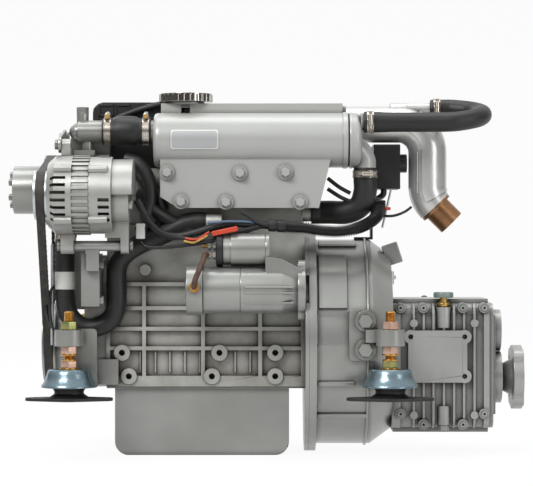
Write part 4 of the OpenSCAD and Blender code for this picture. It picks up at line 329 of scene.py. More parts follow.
def buildSkinGroup():
    # Patches of a second colour, and one fine grain that spreads the roughness and bumps the surface
    tree, inside, out = newGroup("skin", [
        ("Vector", "NodeSocketVector", None), ("Colour", "NodeSocketColor", None),
        ("Patch Colour", "NodeSocketColor", None), ("Patch Scale", "NodeSocketFloat", 20.0),
        ("Patch Amount", "NodeSocketFloat", 0.3), ("Grain Scale", "NodeSocketFloat", 600.0),
        ("Grain Height", "NodeSocketFloat", 0.1), ("Roughness", "NodeSocketFloat", 0.4),
        ("Roughness Spread", "NodeSocketFloat", 0.1)],
        [("Colour", "NodeSocketColor"), ("Roughness", "NodeSocketFloat"), ("Normal", "NodeSocketVector")])
    vector = inside.outputs["Vector"]
    patch = addNode(tree, "TexNoise", {"Vector": vector, "Scale": inside.outputs["Patch Scale"]},
                    detail=finishLook["patchDetail"])
    spread = addNode(tree, "MapRange", {0: patch.outputs[0], 4: inside.outputs["Patch Amount"]})
    spread.inputs[1].default_value, spread.inputs[2].default_value = finishLook["patchRange"]
    colour = mixColours(tree, spread.outputs[0], inside.outputs["Colour"], inside.outputs["Patch Colour"])
    grain = addNode(tree, "TexNoise", {"Vector": vector, "Scale": inside.outputs["Grain Scale"]},
                    detail=finishLook["grainDetail"])
    centred = addNode(tree, "Math", {0: grain.outputs[0]}, operation="SUBTRACT")
    centred.inputs[1].default_value = finishLook["grainMiddle"]
    rough = addNode(tree, "Math", {0: centred.outputs[0], 1: inside.outputs["Roughness Spread"],
                                   2: inside.outputs["Roughness"]}, operation="MULTIPLY_ADD")
    bump = addNode(tree, "Bump", {"Height": grain.outputs[0], "Strength": inside.outputs["Grain Height"]})
    bump.inputs["Distance"].default_value = finishLook["bumpDistance"]
    for label, source in (("Colour", colour), ("Roughness", rough.outputs[0]), ("Normal", bump.outputs[0])):
        tree.links.new(source, out.inputs[label])
    return tree


def buildPaintedShadeGroup():
    # Paints shade into the colour where a corner is deep: Open is 1 on a free face and 0 in a closed corner
    tree, inside, out = newGroup("paintedShade", [
        ("Colour", "NodeSocketColor", None), ("Shade Colour", "NodeSocketColor", None),
        ("Open", "NodeSocketFloat", 1.0), ("Strength", "NodeSocketFloat", 0.8)],
        [("Colour", "NodeSocketColor")])
    depth = addNode(tree, "MapRange", {0: inside.outputs["Open"], 3: inside.outputs["Strength"]})
    depth.inputs[1].default_value, depth.inputs[2].default_value = finishLook["cornerRange"]
    depth.inputs[4].default_value = 0.0
    colour = mixColours(tree, depth.outputs[0], inside.outputs["Colour"], inside.outputs["Shade Colour"])
    tree.links.new(colour, out.inputs["Colour"])
    return tree


skinGroup, paintedShadeGroup = buildSkinGroup(), buildPaintedShadeGroup()


def placeGroup(tree, group, links, values):
    node = tree.nodes.new("ShaderNodeGroup")
    node.node_tree = group
    for label, value in values.items():
        node.inputs[label].default_value = value
    for label, source in links.items():
        tree.links.new(source, node.inputs[label])
    return node


def newFinish(name, colour, patchColour, patch, grain, rough, metallic=0.0, paintedShade=None, coat=0.0):
    # patch = (scale, amount), grain = (scale, height), rough = (level, spread)
    # and the shade painted into corners = (colour, reach in mm, strength)
    material = bpy.data.materials.new(name)
    material.use_nodes = True
    tree = material.node_tree
    shader = tree.nodes["Principled BSDF"]
    shader.inputs["Metallic"].default_value = metallic
    if coat:
        shader.inputs["Coat Weight"].default_value = coat
        shader.inputs["Coat Roughness"].default_value = finishLook["coatRoughness"]
    place = addNode(tree, "TexCoord")
    skin = placeGroup(tree, skinGroup, {"Vector": place.outputs["Object"]}, {
        "Colour": (*colour, 1), "Patch Colour": (*patchColour, 1), "Patch Scale": patch[0],
        "Patch Amount": patch[1], "Grain Scale": grain[0], "Grain Height": grain[1],
        "Roughness": rough[0], "Roughness Spread": rough[1]})
    colourOut = skin.outputs["Colour"]
    # Painted shade: ambient occlusion darkens the colour in corners
    if paintedShade:
        corner = addNode(tree, "AmbientOcclusion", samples=finishLook["cornerSamples"])
        corner.inputs["Distance"].default_value = paintedShade[1] * mm
        shaded = placeGroup(tree, paintedShadeGroup, {"Colour": colourOut, "Open": corner.outputs["AO"]},
                             {"Shade Colour": (*paintedShade[0], 1), "Strength": paintedShade[2]})
        colourOut = shaded.outputs["Colour"]
    tree.links.new(colourOut, shader.inputs["Base Color"])
    tree.links.new(skin.outputs["Roughness"], shader.inputs["Roughness"])
    tree.links.new(skin.outputs["Normal"], shader.inputs["Normal"])
    return material


# The last values of some finishes below are painted shade in their corners: colour, reach in mm and strength
greyPaint = newFinish("greyPaint", (0.37, 0.375, 0.355), (0.25, 0.25, 0.232),
    patch=(7.0, 0.8), grain=(420.0, 0.10), rough=(0.31, 0.10), metallic=0.5,
    paintedShade=((0.05, 0.046, 0.038), 11, 0.95), coat=0.25)
palePaint = newFinish("palePaint", (0.46, 0.465, 0.445), (0.40, 0.405, 0.385),
    patch=(8.0, 0.5), grain=(420.0, 0.08), rough=(0.34, 0.08), metallic=0.12,
    paintedShade=((0.09, 0.085, 0.07), 8, 0.85), coat=0.2)
gearboxPaint = newFinish("gearboxPaint", (0.44, 0.445, 0.425), (0.33, 0.33, 0.31),
    patch=(16.0, 0.7), grain=(520.0, 0.22), rough=(0.33, 0.14), metallic=0.35,
    paintedShade=((0.030, 0.028, 0.024), 15, 1.0))
castPaint = newFinish("castPaint", (0.50, 0.50, 0.465), (0.33, 0.32, 0.285),
    patch=(26.0, 0.9), grain=(650.0, 0.8), rough=(0.34, 0.2), metallic=0.35,
    paintedShade=((0.034, 0.021, 0.012), 18, 1.0))
bareAlloy = newFinish("bareAlloy", (0.43, 0.43, 0.41), (0.34, 0.335, 0.315),
    patch=(30.0, 0.6), grain=(800.0, 0.35), rough=(0.38, 0.14), metallic=0.55,
    paintedShade=((0.07, 0.062, 0.05), 9, 0.95))
steelCore = newFinish("steelCore", (0.42, 0.42, 0.41), (0.32, 0.31, 0.29),
    patch=(40.0, 0.6), grain=(900.0, 0.2), rough=(0.36, 0.15), metallic=0.85)
zincBright = newFinish("zincBright", (0.60, 0.62, 0.63), (0.48, 0.52, 0.55),
    patch=(60.0, 0.7), grain=(900.0, 0.1), rough=(0.3, 0.12), metallic=0.9)
clampSteel = newFinish("clampSteel", (0.60, 0.55, 0.49), (0.42, 0.37, 0.32),
    patch=(50.0, 0.7), grain=(700.0, 0.08), rough=(0.26, 0.10), metallic=0.95)
yellowZinc = newFinish("yellowZinc", (0.66, 0.40, 0.12), (0.50, 0.22, 0.06),
    patch=(60.0, 0.9), grain=(800.0, 0.1), rough=(0.28, 0.12), metallic=0.9)
pinkZinc = newFinish("pinkZinc", (0.66, 0.46, 0.38), (0.56, 0.30, 0.20), patch=(70.0, 0.9),
    grain=(800.0, 0.1), rough=(0.3, 0.12), metallic=0.85)
greenZinc = newFinish("greenZinc", (0.52, 0.42, 0.16), (0.10, 0.26, 0.12),
    patch=(55.0, 1.0), grain=(800.0, 0.1), rough=(0.3, 0.12), metallic=0.85)
cupZinc = newFinish("cupZinc", (0.22, 0.30, 0.34), (0.16, 0.22, 0.26), patch=(26.0, 0.7),
    grain=(700.0, 0.06), rough=(0.26, 0.10), metallic=0.85)
hoseRubber = newFinish("hoseRubber", (0.010, 0.010, 0.010), (0.020, 0.019, 0.017),
    patch=(24.0, 0.6), grain=(900.0, 0.25), rough=(0.46, 0.14))
mountRubber = newFinish("mountRubber", (0.012, 0.012, 0.012), (0.03, 0.028, 0.026),
    patch=(30.0, 0.5), grain=(500.0, 0.3), rough=(0.5, 0.14))
beltRubber = newFinish("beltRubber", (0.02, 0.02, 0.02), (0.07, 0.055, 0.04),
    patch=(90.0, 0.7), grain=(900.0, 0.4), rough=(0.6, 0.14))
blackMould = newFinish("blackMould", (0.012, 0.012, 0.013), (0.03, 0.03, 0.03),
    patch=(25.0, 0.5), grain=(700.0, 0.2), rough=(0.4, 0.12))
glossBlack = newFinish("glossBlack", (0.008, 0.008, 0.008), (0.016, 0.016, 0.016),
    patch=(40.0, 0.5), grain=(600.0, 0.04), rough=(0.2, 0.08))
braid = newFinish("braid", (0.13, 0.065, 0.04), (0.03, 0.02, 0.018), patch=(380.0, 1.0),
    grain=(1400.0, 0.7), rough=(0.6, 0.14))
bronze = newFinish("bronze", (0.36, 0.19, 0.09), (0.20, 0.09, 0.045), patch=(30.0, 0.9),
    grain=(900.0, 0.12), rough=(0.34, 0.14), metallic=0.85)
brass = newFinish("brass", (0.62, 0.40, 0.13), (0.42, 0.24, 0.07), patch=(60.0, 0.7),
    grain=(800.0, 0.1), rough=(0.28, 0.10), metallic=0.95)
chrome = newFinish("chrome", (0.62, 0.60, 0.56), (0.40, 0.37, 0.32), patch=(18.0, 0.8),
    grain=(900.0, 0.03), rough=(0.12, 0.05), metallic=1.0)
copperNickel = newFinish("copperNickel", (0.52, 0.30, 0.18), (0.34, 0.18, 0.10),
    patch=(30.0, 0.7), grain=(700.0, 0.1), rough=(0.35, 0.1), metallic=0.9)
pistonAlloy = newFinish("pistonAlloy", (0.60, 0.60, 0.59), (0.48, 0.48, 0.47),
    patch=(40.0, 0.6), grain=(900.0, 0.1), rough=(0.32, 0.1), metallic=0.9)
redPlastic = newFinish("redPlastic", (0.62, 0.07, 0.03), (0.42, 0.03, 0.02),
    patch=(60.0, 0.5), grain=(600.0, 0.1), rough=(0.4, 0.1))
bluePlastic = newFinish("bluePlastic", (0.10, 0.16, 0.24), (0.06, 0.10, 0.16),
    patch=(60.0, 0.5), grain=(600.0, 0.1), rough=(0.4, 0.1))
paleBand = newFinish("paleBand", (0.66, 0.66, 0.63), (0.52, 0.52, 0.49),
    patch=(40.0, 0.6), grain=(700.0, 0.1), rough=(0.5, 0.1))
plugPlastic = newFinish("plugPlastic", (0.24, 0.29, 0.26), (0.17, 0.21, 0.19),
    patch=(50.0, 0.6), grain=(700.0, 0.15), rough=(0.42, 0.1), metallic=0.2)
elbowAlloy = newFinish("elbowAlloy", (0.66, 0.66, 0.64), (0.54, 0.54, 0.52),
    patch=(12.0, 0.6), grain=(500.0, 0.08), rough=(0.3, 0.10), metallic=0.55,
    paintedShade=((0.14, 0.13, 0.11), 8, 0.7))
plateRim = newFinish("plateRim", (0.72, 0.73, 0.72), (0.62, 0.63, 0.62), patch=(30.0, 0.5),
    grain=(700.0, 0.05), rough=(0.3, 0.08), metallic=0.3)
plateFace = newFinish("plateFace", (0.46, 0.47, 0.47), (0.42, 0.43, 0.43),
    patch=(9.0, 0.25), grain=(700.0, 0.02), rough=(0.34, 0.04), metallic=0.2)
darkInside = newFinish("darkInside", (0.006, 0.006, 0.006), (0.012, 0.012, 0.012),
    patch=(30.0, 0.5), grain=(600.0, 0.1), rough=(0.7, 0.1))
print("stage: materials")


# Camera, floor and light
view = {"place": (-0.416, -3.69, 0.2186), "tilt": 90, "lens": 152.51, "sensor": 36.0, "farClip": 60}
bpy.ops.object.camera_add(location=view["place"], rotation=(math.radians(view["tilt"]), 0, 0))
camera = bpy.context.object
camera.data.lens = view["lens"]
camera.data.sensor_width = view["sensor"]
camera.data.sensor_fit = "HORIZONTAL"
camera.data.clip_end = view["farClip"]
bpy.context.scene.camera = camera
bpy.context.scene.view_settings.view_transform = "Standard"

# The paper's sizes in metres, its grey for the camera and for the light it throws back, and its shadow
studio = {"floorZ": -0.1206, "front": -7.0, "back": 6.0, "half": 9.0, "bend": 1.6, "bendSteps": 12,
          "top": 6.0, "pale": 0.95, "bounce": 0.42, "roughness": 0.9, "shadow": 0.06}
sky = {"strength": 0.9, "below": (0.10, 0.10, 0.098, 1), "above": (0.97, 0.985, 1.0, 1), "aboveAt": 0.75,
       "steps": ((0.16, 0.12), (0.34, 0.55))}


def buildStage():
    # A sheet of pale paper: flat floor, a bend and a wall, white where the camera sees it
    floorZ, back, bend, steps = (studio[key] for key in ("floorZ", "back", "bend", "bendSteps"))
    profile = [(studio["front"], floorZ), (back, floorZ)]
    profile += [(back + bend * math.sin(a), floorZ + bend * (1 - math.cos(a)))
                for a in [math.radians(90 * k / steps) for k in range(1, steps + 1)]]
    profile.append((back + bend, studio["top"]))
    points = [(-studio["half"], y, z) for y, z in profile]
    paper = newPiece("paper", points, [(i, i + 1) for i in range(len(points) - 1)])
    extruded(paper, 2 * studio["half"])
    bpy.ops.object.shade_smooth()
    material = bpy.data.materials.new("paper")
    material.use_nodes = True
    tree = material.node_tree
    shader = tree.nodes["Principled BSDF"]
    shader.inputs["Roughness"].default_value = studio["roughness"]
    ray = addNode(tree, "LightPath")
    pale = addNode(tree, "ValToRGB", {"Fac": ray.outputs["Is Camera Ray"]})
    for element, level in zip(pale.color_ramp.elements, (studio["bounce"], studio["pale"])):
        element.color = (level, level, level, 1)
    tree.links.new(pale.outputs["Color"], shader.inputs["Base Color"])
    seen = addNode(tree, "Math", {0: ray.outputs["Is Camera Ray"], 1: ray.outputs["Is Glossy Ray"]},
                   operation="MAXIMUM")
    seen = addNode(tree, "Math", {0: seen.outputs[0], 1: ray.outputs["Is Transmission Ray"]},
                   operation="MAXIMUM")
    share = addNode(tree, "Math", {0: seen.outputs[0]}, operation="MULTIPLY")
    share.inputs[1].default_value = 1 - studio["shadow"]
    glow = addNode(tree, "Emission")
    glow.inputs["Color"].default_value = (1, 1, 1, 1)
    mix = addNode(tree, "MixShader", {0: share.outputs[0], 1: shader.outputs[0], 2: glow.outputs[0]})
    tree.links.new(mix.outputs[0], tree.nodes["Material Output"].inputs["Surface"])
    paper.data.materials.append(material)


def buildWorld():
    world = bpy.data.worlds.new("studioSky")
    bpy.context.scene.world = world
    world.use_nodes = True
    tree = world.node_tree
    # Bright above, dim at the level of the engine, dark below
    place = addNode(tree, "TexCoord")
    parts = addNode(tree, "SeparateXYZ", {"Vector": place.outputs["Generated"]})
    ramp = addNode(tree, "ValToRGB", {"Fac": parts.outputs["Z"]})
    ramp.color_ramp.elements[0].color = sky["below"]
    ramp.color_ramp.elements[1].position = sky["aboveAt"]
    ramp.color_ramp.elements[1].color = sky["above"]
    for position, level in sky["steps"]:
        step = ramp.color_ramp.elements.new(position)
        step.color = (level, level, level, 1)
    soft = tree.nodes["Background"]
    tree.links.new(ramp.outputs["Color"], soft.inputs["Color"])
    soft.inputs["Strength"].default_value = sky["strength"]
    white = addNode(tree, "Background")
    white.inputs["Color"].default_value = (1, 1, 1, 1)
    ray = addNode(tree, "LightPath")
    seen = addNode(tree, "Math", {0: ray.outputs["Is Camera Ray"], 1: ray.outputs["Is Transmission Ray"]},
                   operation="MAXIMUM")
    mix = addNode(tree, "MixShader", {0: seen.outputs[0], 1: soft.outputs[0], 2: white.outputs[0]})
    tree.links.new(mix.outputs[0], tree.nodes["World Output"].inputs["Surface"])


lamps = {  # name: (place, aim, width, height, watts), in metres
    "keyLamp": ((-2.0, -2.6, 2.4), (-0.4, 0, 0.2), 1.5, 0.9, 72),
    "fillLamp": ((2.3, -2.6, 1.0), (-0.3, 0, 0.2), 1.0, 1.6, 24),
    "topLamp": ((-0.4, 0.1, 2.8), (-0.4, 0, 0.2), 2.2, 1.2, 27),
    "backLamp": ((-1.8, 2.0, 1.8), (-0.4, 0, 0.2), 1.4, 1.4, 12),
}
for lampName, (place, aim, width, height, watts) in lamps.items():
    bpy.ops.object.light_add(type="AREA", location=place)
    lamp = bpy.context.object
    lamp.name = lampName
    lamp.data.shape = "RECTANGLE"
    lamp.data.size, lamp.data.size_y, lamp.data.energy = width, height, watts
    lamp.rotation_euler = (Vector(aim) - Vector(place)).to_track_quat("-Z", "Y").to_euler()
buildStage()
buildWorld()
print("stage: camera, paper and lamps")


# Castings: the CAD shape with rounded edges
castings = {  # node: (edge radius in mm, finish)
    "engine_block": (0.3, castPaint),
    "cylinder_head": (0.6, castPaint),
    "oil_pan": (1.2, greyPaint),
    "timing_cover": (0.6, greyPaint),
    "rear_plate": (0.6, greyPaint),
    "bell_housing": (0.6, greyPaint),
    "gearbox_case": (0.4, gearboxPaint),
    "gearbox_side_cover": (0.25, gearboxPaint),
    "gearbox_end_cover": (0.4, gearboxPaint),
    "exchanger_body": (0.35, palePaint),
    "alternator_front": (0.8, bareAlloy),
    "alternator_stator": (0.5, bareAlloy),
    "alternator_rear": (0.8, bareAlloy),
    "alternator_brackets": (1.0, greyPaint),
    "starter_body": (1.0, greyPaint),
    "starter_solenoid": (1.0, greyPaint),
    "starter_drive": (1.4, greyPaint),
    "front_brackets": (1.6, greyPaint),
    "rear_brackets": (1.4, greyPaint),
    "thermostat_housing": (1.2, greyPaint),
    "water_pump": (1.2, greyPaint),
    "intake_manifold": (1.5, greyPaint),
    "injection_pump": (1.2, castPaint),
    "rocker_cover": (2.0, blackMould),
    "control_box": (0.8, blackMould),
    "oil_filter": (2.0, blackMould),
    "mount_cups": (0.6, cupZinc),
    "crank_pulley": (0.8, greyPaint),
    "pump_pulley": (0.9, greyPaint),
    "alternator_rotor": (0.7, zincBright),
    "output_shaft": (0.9, gearboxPaint),
    "shift_lever": (0.7, zincBright),
    "throttle_lever": (0.5, zincBright),
    "stop_lever": (0.5, zincBright),
    "coolant_cap": (0.8, chrome),
    "exhaust_outlet": (0.5, bronze),
}
movingBodies = {"crank_pulley": "crank_train", "pump_pulley": "pump_drive",
                "alternator_rotor": "alternator_drive", "output_shaft": "output_drive",
                "shift_lever": "shift_arm", "throttle_lever": "throttle_arm", "stop_lever": "stop_arm",
                "coolant_cap": "filler_cap"}
for nodeName, (edge, finish) in castings.items():
    casting = roundedCopy(nodeName, edge)
    firstWord, *words = nodeName.split("_")
    pieceName = firstWord + "".join(word.title() for word in words) + "Casting"
    finishPiece(casting, pieceName, finish, movingBodies.get(nodeName, "engine"))
    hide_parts(nodeName)
print("stage: castings")

# Pieces inside the engine, and the injector lines, keep their CAD shape
innerFinishes = {
    "main_caps": steelCore, "crankshaft": steelCore, "flywheel": steelCore, "camshaft": steelCore,
    "piston_1": pistonAlloy, "piston_2": pistonAlloy, "piston_3": pistonAlloy,
    "tube_stack": copperNickel, "injector_lines": zincBright}
for nodeName, finish in innerFinishes.items():
    for materialSlot in cadNodes[nodeName].material_slots:
        materialSlot.material = finish

# Hoses, smooth and full where the CAD has coarse rings
hoseRoutes = {  # node: (radius, points)
    "riser_hose": (15.6, [
        (-262, -112, 410), (-245, -112, 410), (-200, -112, 410), (-150, -112, 410), (-116, -112, 411),
        (-84, -98, 417), (-70, -66, 425), (-84, -34, 432), (-114, -20, 436), (-135, -20, 436),
        (-150, -20, 436)]),
    "down_hose": (18.7, [
        (-259, -95, 338), (-259, -95, 320), (-259, -95, 300), (-267, -91, 278), (-288, -82, 268),
        (-313, -68, 268), (-326, -62, 268), (-335, -62, 268), (-344, -62, 268)]),
    "coolant_hose": (15.6, [
        (-730, -60, 275), (-730, -67, 275), (-730, -74, 275), (-732, -90, 262), (-735, -101, 238),
        (-735, -110, 200), (-735, -112, 136), (-729, -112, 105), (-708, -112, 86), (-683, -112, 86),
        (-661, -113, 100), (-653, -115, 128), (-653, -115, 176), (-642, -115, 199), (-616, -114, 217),
        (-580, -112, 232), (-548, -109, 248), (-530, -108, 252), (-521, -108, 252), (-512, -108, 252)]),
}
# The ends are a little thinner, and the riser hose flares where it starts
hoseShape = {"steps": 10, "rings": 110, "sides": 32, "endStep": 0.9, "flare": 1.8, "flareFall": 0.12}
for nodeName, (radius, points) in hoseRoutes.items():
    path = evenly(routeThrough(points, hoseShape["steps"]), hoseShape["rings"])
    last = len(path) - 1
    radii = [radius - (hoseShape["endStep"] if i in (0, last) else 0.0) for i in range(last + 1)]
    if nodeName == "riser_hose":
        radii = [r + max(0.0, hoseShape["flare"] - hoseShape["flareFall"] * i) for i, r in enumerate(radii)]
    pipe = tubeAlong(path, radii, hoseShape["sides"])
    finishPiece(pipe, nodeName.split("_")[0] + "HoseSmooth", hoseRubber)
    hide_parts(nodeName)

thermoHose = {"start": (-677, -90, 396), "steps": 56, "profile": [
    (0, 15), (0, 20.4), (0.8, 21.3), (14, 21.3), (17.5, 21.8), (22, 24.2), (30, 25.3), (44, 25.4), (53, 24.4),
    (57.5, 22.0), (60, 21.3), (76.2, 21.3), (77, 20.4), (77, 15)]}
thermoPiece = turned(thermoHose["profile"], thermoHose["start"], xWay, thermoHose["steps"], ring=True)
finishPiece(thermoPiece, "thermostatHoseSmooth", hoseRubber, angle=60)
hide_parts("thermostat_hose")

# Blank band on the coolant hose, as rings of (height, radius)
hoseBand = {"x": -735.2, "y": -111.6, "rings": (
    (145, 15.7), (146, 16.3), (159, 16.3), (172, 16.3), (173, 15.7))}
wrap = tubeAlong([(hoseBand["x"], hoseBand["y"], z) for z, radius in hoseBand["rings"]],
                 [radius for z, radius in hoseBand["rings"]], hoseShape["sides"])
finishPiece(wrap, "blankHoseBand", paleBand)
print("stage: hoses")

# Worm-drive clamps: band with rolled edges, housing and screw
clampPlaces = [  # centre, way along the hose, radius, side of the screw, way of the screw, screw finish
    ((-669, -90, 396), (1, 0, 0), 21.4, (0, -0.2, 1), (0, 1, 0.2), brass),
    ((-608, -90, 396), (1, 0, 0), 21.4, (0, -0.2, 1), (0, 1, 0.2), brass),
    ((-252, -112, 410), (1, 0, 0), 17.0, (0, -1, 0.1), (0, 0.1, 1), clampSteel),
    ((-140, -20, 436), (1, 0, 0), 15.7, (0, -1, 0.1), (0, 0.1, 1), clampSteel),
    ((-259, -95, 328), (0, 0, 1), 18.8, (0.1, -1, 0), (1, 0.1, 0), clampSteel),
    ((-735, -104.5, 226), (0.05, 0.22, 1), 15.9, (0.3, -1, 0.2), (1, 0.3, 0), brass),
]
clampShape = {"half": 5.2, "lipIn": 4.2, "bandIn": 3.8, "thick": 1.2, "lip": 1.9, "rise": 5.2,
              "housingHalf": 9, "housing": 4.6, "bridgeLow": 0.6, "bridge": (5.4, 4.4), "screw": 3.9,
              "screwEnd": 14.5, "worm": (3.2, 2.6), "wormStep": 0.6, "wormEnd": 13.8, "wormCore": 1.0}


def wormClamp(centre, way, radius, side, along, screwFinish):
    centre, way = Vector(centre), Vector(way).normalized()
    along = Vector(along).normalized()
    side = (Vector(side) - along * Vector(side).dot(along)).normalized()
    half, lipIn, bandIn = clampShape["half"], clampShape["lipIn"], clampShape["bandIn"]
    lip, flat = radius + clampShape["lip"], radius + clampShape["thick"]
    band = turned([(-half, radius), (-half, lip), (-lipIn, lip), (-bandIn, flat), (bandIn, flat),
                   (lipIn, lip), (half, lip), (half, radius)], centre, way, 48, ring=True)
    top = centre + side * (radius + clampShape["rise"])
    reach, end = clampShape["housingHalf"], clampShape["screwEnd"]
    housing = rod(top - along * reach, top + along * reach, clampShape["housing"], sides=20, edge=1.0)
    bridge = rod(centre + side * (radius + clampShape["bridgeLow"]), top, *clampShape["bridge"], 16, 0.6)
    for part in (band, housing, bridge):
        paintPiece(part, clampSteel)
    screw = rod(top - along * end, top - along * reach, clampShape["screw"], sides=6, edge=0.5)
    crest, root = clampShape["worm"]
    turns = [(reach + clampShape["wormStep"] * k, crest if k % 2 else root) for k in range(8)]
    core = clampShape["wormCore"]
    worm = turned([(reach, core)] + turns + [(clampShape["wormEnd"], core)], top, along, 16)
    paintPiece(screw, screwFinish)
    paintPiece(worm, screwFinish)
    return joinPieces([band, housing, bridge, screw, worm])


clampSet = joinPieces([wormClamp(*place) for place in clampPlaces])
finishPiece(clampSet, "wormClamps", None, angle=50)
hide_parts("hose_clamps")
print("stage: clamps")

# Exhaust elbow: smooth pipe with its spigot, an outer panel and a weld bead
elbow = {"startX": -295, "bend": 46, "runZ": 411, "dropX": -156, "y": -20, "radius": 29.5, "drop": 54,
         "turn": 45, "wall": 5, "bendSteps": 24, "turnSteps": 14}


def elbowPoints():
    bend, y, dropX = elbow["bend"], elbow["y"], elbow["dropX"]
    bendX, bendZ = dropX - bend, elbow["runZ"] - bend
    points = [(elbow["startX"], y, elbow["runZ"])]
    for k in range(elbow["bendSteps"] + 1):
        a = math.radians(90 - 90 * k / elbow["bendSteps"])
        points.append((bendX + bend * math.cos(a), y, bendZ + bend * math.sin(a)))
    for k in range(elbow["turnSteps"] + 1):
        a = math.radians(180 + elbow["turn"] * k / elbow["turnSteps"])
        points.append((dropX + bend * (1 + math.cos(a)), y, bendZ - elbow["drop"] + bend * math.sin(a)))
    return points


def sectorShell(points, radius, low, high, count, thickness):
    # A shell that follows a pipe over a sector of its round; angles start at the far side
    spots = [Vector(p) for p in points]
    verts, faces = [], []
    for i, p in enumerate(spots):
        way = (spots[min(i + 1, len(spots) - 1)] - spots[max(i - 1, 0)]).normalized()
        u = Vector((0, 1, 0))
        v = way.cross(u)
        for k in range(count):
            a = math.radians(low + (high - low) * k / (count - 1))
            verts.append((p + (u * math.cos(a) + v * math.sin(a)) * radius) * mm)
    for i in range(len(spots) - 1):
        for k in range(count - 1):
            n = i * count + k
            faces.append((n, n + 1, n + count + 1, n + count))
    piece = newPiece("shell", verts, faces=faces)
    applyModifier(piece, "SOLIDIFY", thickness=thickness * mm, offset=0)
    return roundEdges(turnOutward(piece), thickness * 0.4, 2, 50)


# Both rods: start, end, radius, end radius, sides, edge
spigotRod = ((-215, elbow["y"], 436), (-150.5, elbow["y"], 436), 10.2, None, 28, 0.8)
saddleRod = ((-214, elbow["y"], 430), (-186, elbow["y"], 434), 17, 12, 32, 3.0)
outerPanel = {"maxX": -182, "minZ": 288, "radius": 31.0, "low": 80, "high": 199, "count": 26, "thick": 2.6}
weldBead = {"x": -172.5, "sway": 0.25, "swayTurn": 1.7, "topZ": 366, "step": 3.2, "count": 22,
            "pipeRadius": 29.6, "proud": 0.2, "radius": 1.3, "swell": 0.25}


def weldPoint(k):
    x = weldBead["x"] + weldBead["sway"] * math.sin(k * weldBead["swayTurn"])
    out = math.sqrt(max(weldBead["pipeRadius"] ** 2 - (x - elbow["dropX"]) ** 2, 0))
    return x, elbow["y"] - out - weldBead["proud"], weldBead["topZ"] - weldBead["step"] * k


pipePath = elbowPoints()
pipe = tubeAlong(pipePath, elbow["radius"], 48, caps=False)
applyModifier(pipe, "SOLIDIFY", thickness=elbow["wall"] * mm, offset=-1)
spigot, saddle = rod(*spigotRod), rod(*saddleRod)
panelPath = [q for q in pipePath if outerPanel["maxX"] < q[0] and q[2] > outerPanel["minZ"]]
panel = sectorShell(panelPath, *(outerPanel[key] for key in ("radius", "low", "high", "count", "thick")))
bead = tubeAlong([weldPoint(k) for k in range(weldBead["count"])],
                 [weldBead["radius"] + weldBead["swell"] * (k % 2) for k in range(weldBead["count"])], 12)
elbowPiece = joinPieces([pipe, spigot, saddle, panel, bead])
finishPiece(elbowPiece, "exhaustElbowPipe", elbowAlloy, angle=45)
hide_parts("exhaust_elbow")
print("stage: elbow")

# End caps of the exchanger: rounded rims, a dark seal, hose stubs, the cone to the down hose, small bolts
tankAxis, tankFront, tankRear = (-95, 382), -584, -295
capTurnings = [  # profile of (distance, radius), start, steps, finish
    ([(0, 6), (0, 43.2), (-5, 43.2), (-8.6, 41.6), (-10.6, 38), (-11.2, 33), (-11.2, 6)],
     (tankFront, *tankAxis), 64, palePaint),
    ([(0, 8), (0, 44.3), (1, 45), (7, 45), (8, 44.3), (8, 8)], (tankRear, *tankAxis), 64, palePaint),
    ([(10.5, 8), (10.5, 44.2), (12, 45), (14.5, 45), (15.5, 44), (22, 43.6), (26.5, 41), (29.2, 36), (30, 30),
      (30, 8)], (tankRear, *tankAxis), 64, palePaint),
    ([(7.8, 8), (7.8, 42.6), (10.8, 42.6), (10.8, 8)], (tankRear, *tankAxis), 64, darkInside),
    ([(-16, 13), (-16, 18), (-10.8, 18), (-10.8, 13)], (tankFront, -90, 396), 40, palePaint),
    ([(28, 9), (28, 15), (33, 13), (33, 9)], (tankRear, -112, 410), 36, palePaint),
]
waterCone = {"steps": 6, "rings": 26, "wide": 27, "narrower": 9.6, "taperedRings": 17, "sides": 36,
             "points": [(-292, -95, 372), (-277, -95, 368), (-265, -95, 360), (-259.5, -95, 350),
                        (-259, -95, 344), (-259, -95, 338)]}
capBolt = {"acrossFlats": 10, "height": 7, "places": [(tankRear, -55, 405), (tankRear, -60, 434)]}

capParts = [paintPiece(turned(profile, start, xWay, steps, ring=True), finish)
            for profile, start, steps, finish in capTurnings]
conePath = evenly(routeThrough(waterCone["points"], waterCone["steps"]), waterCone["rings"])
coneRadii = [waterCone["wide"] - waterCone["narrower"] * min(i / waterCone["taperedRings"], 1)
             for i in range(waterCone["rings"])]
capParts.append(paintPiece(tubeAlong(conePath, coneRadii, waterCone["sides"]), palePaint))
firstBolt = hexHead(capBolt["places"][0], xWay, capBolt["acrossFlats"], capBolt["height"])
capParts.append(paintPiece(repeatAt(firstBolt, capBolt["places"]), palePaint))
capSet = joinPieces(capParts)
finishPiece(capSet, "exchangerCapSet", None, angle=50)
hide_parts("exchanger_caps")

# Name plate of the exchanger, left blank, bent round the tank
plate = {"x0": -567.3, "x1": -491.5, "z0": 365.8, "z1": 397.4, "corner": 4.2, "cornerSteps": 6,
         "radius": 43.9, "rimThick": 1.0, "faceThick": 1.7, "faceInset": 2.2, "cutStep": 2, "cutsPerSide": 7}


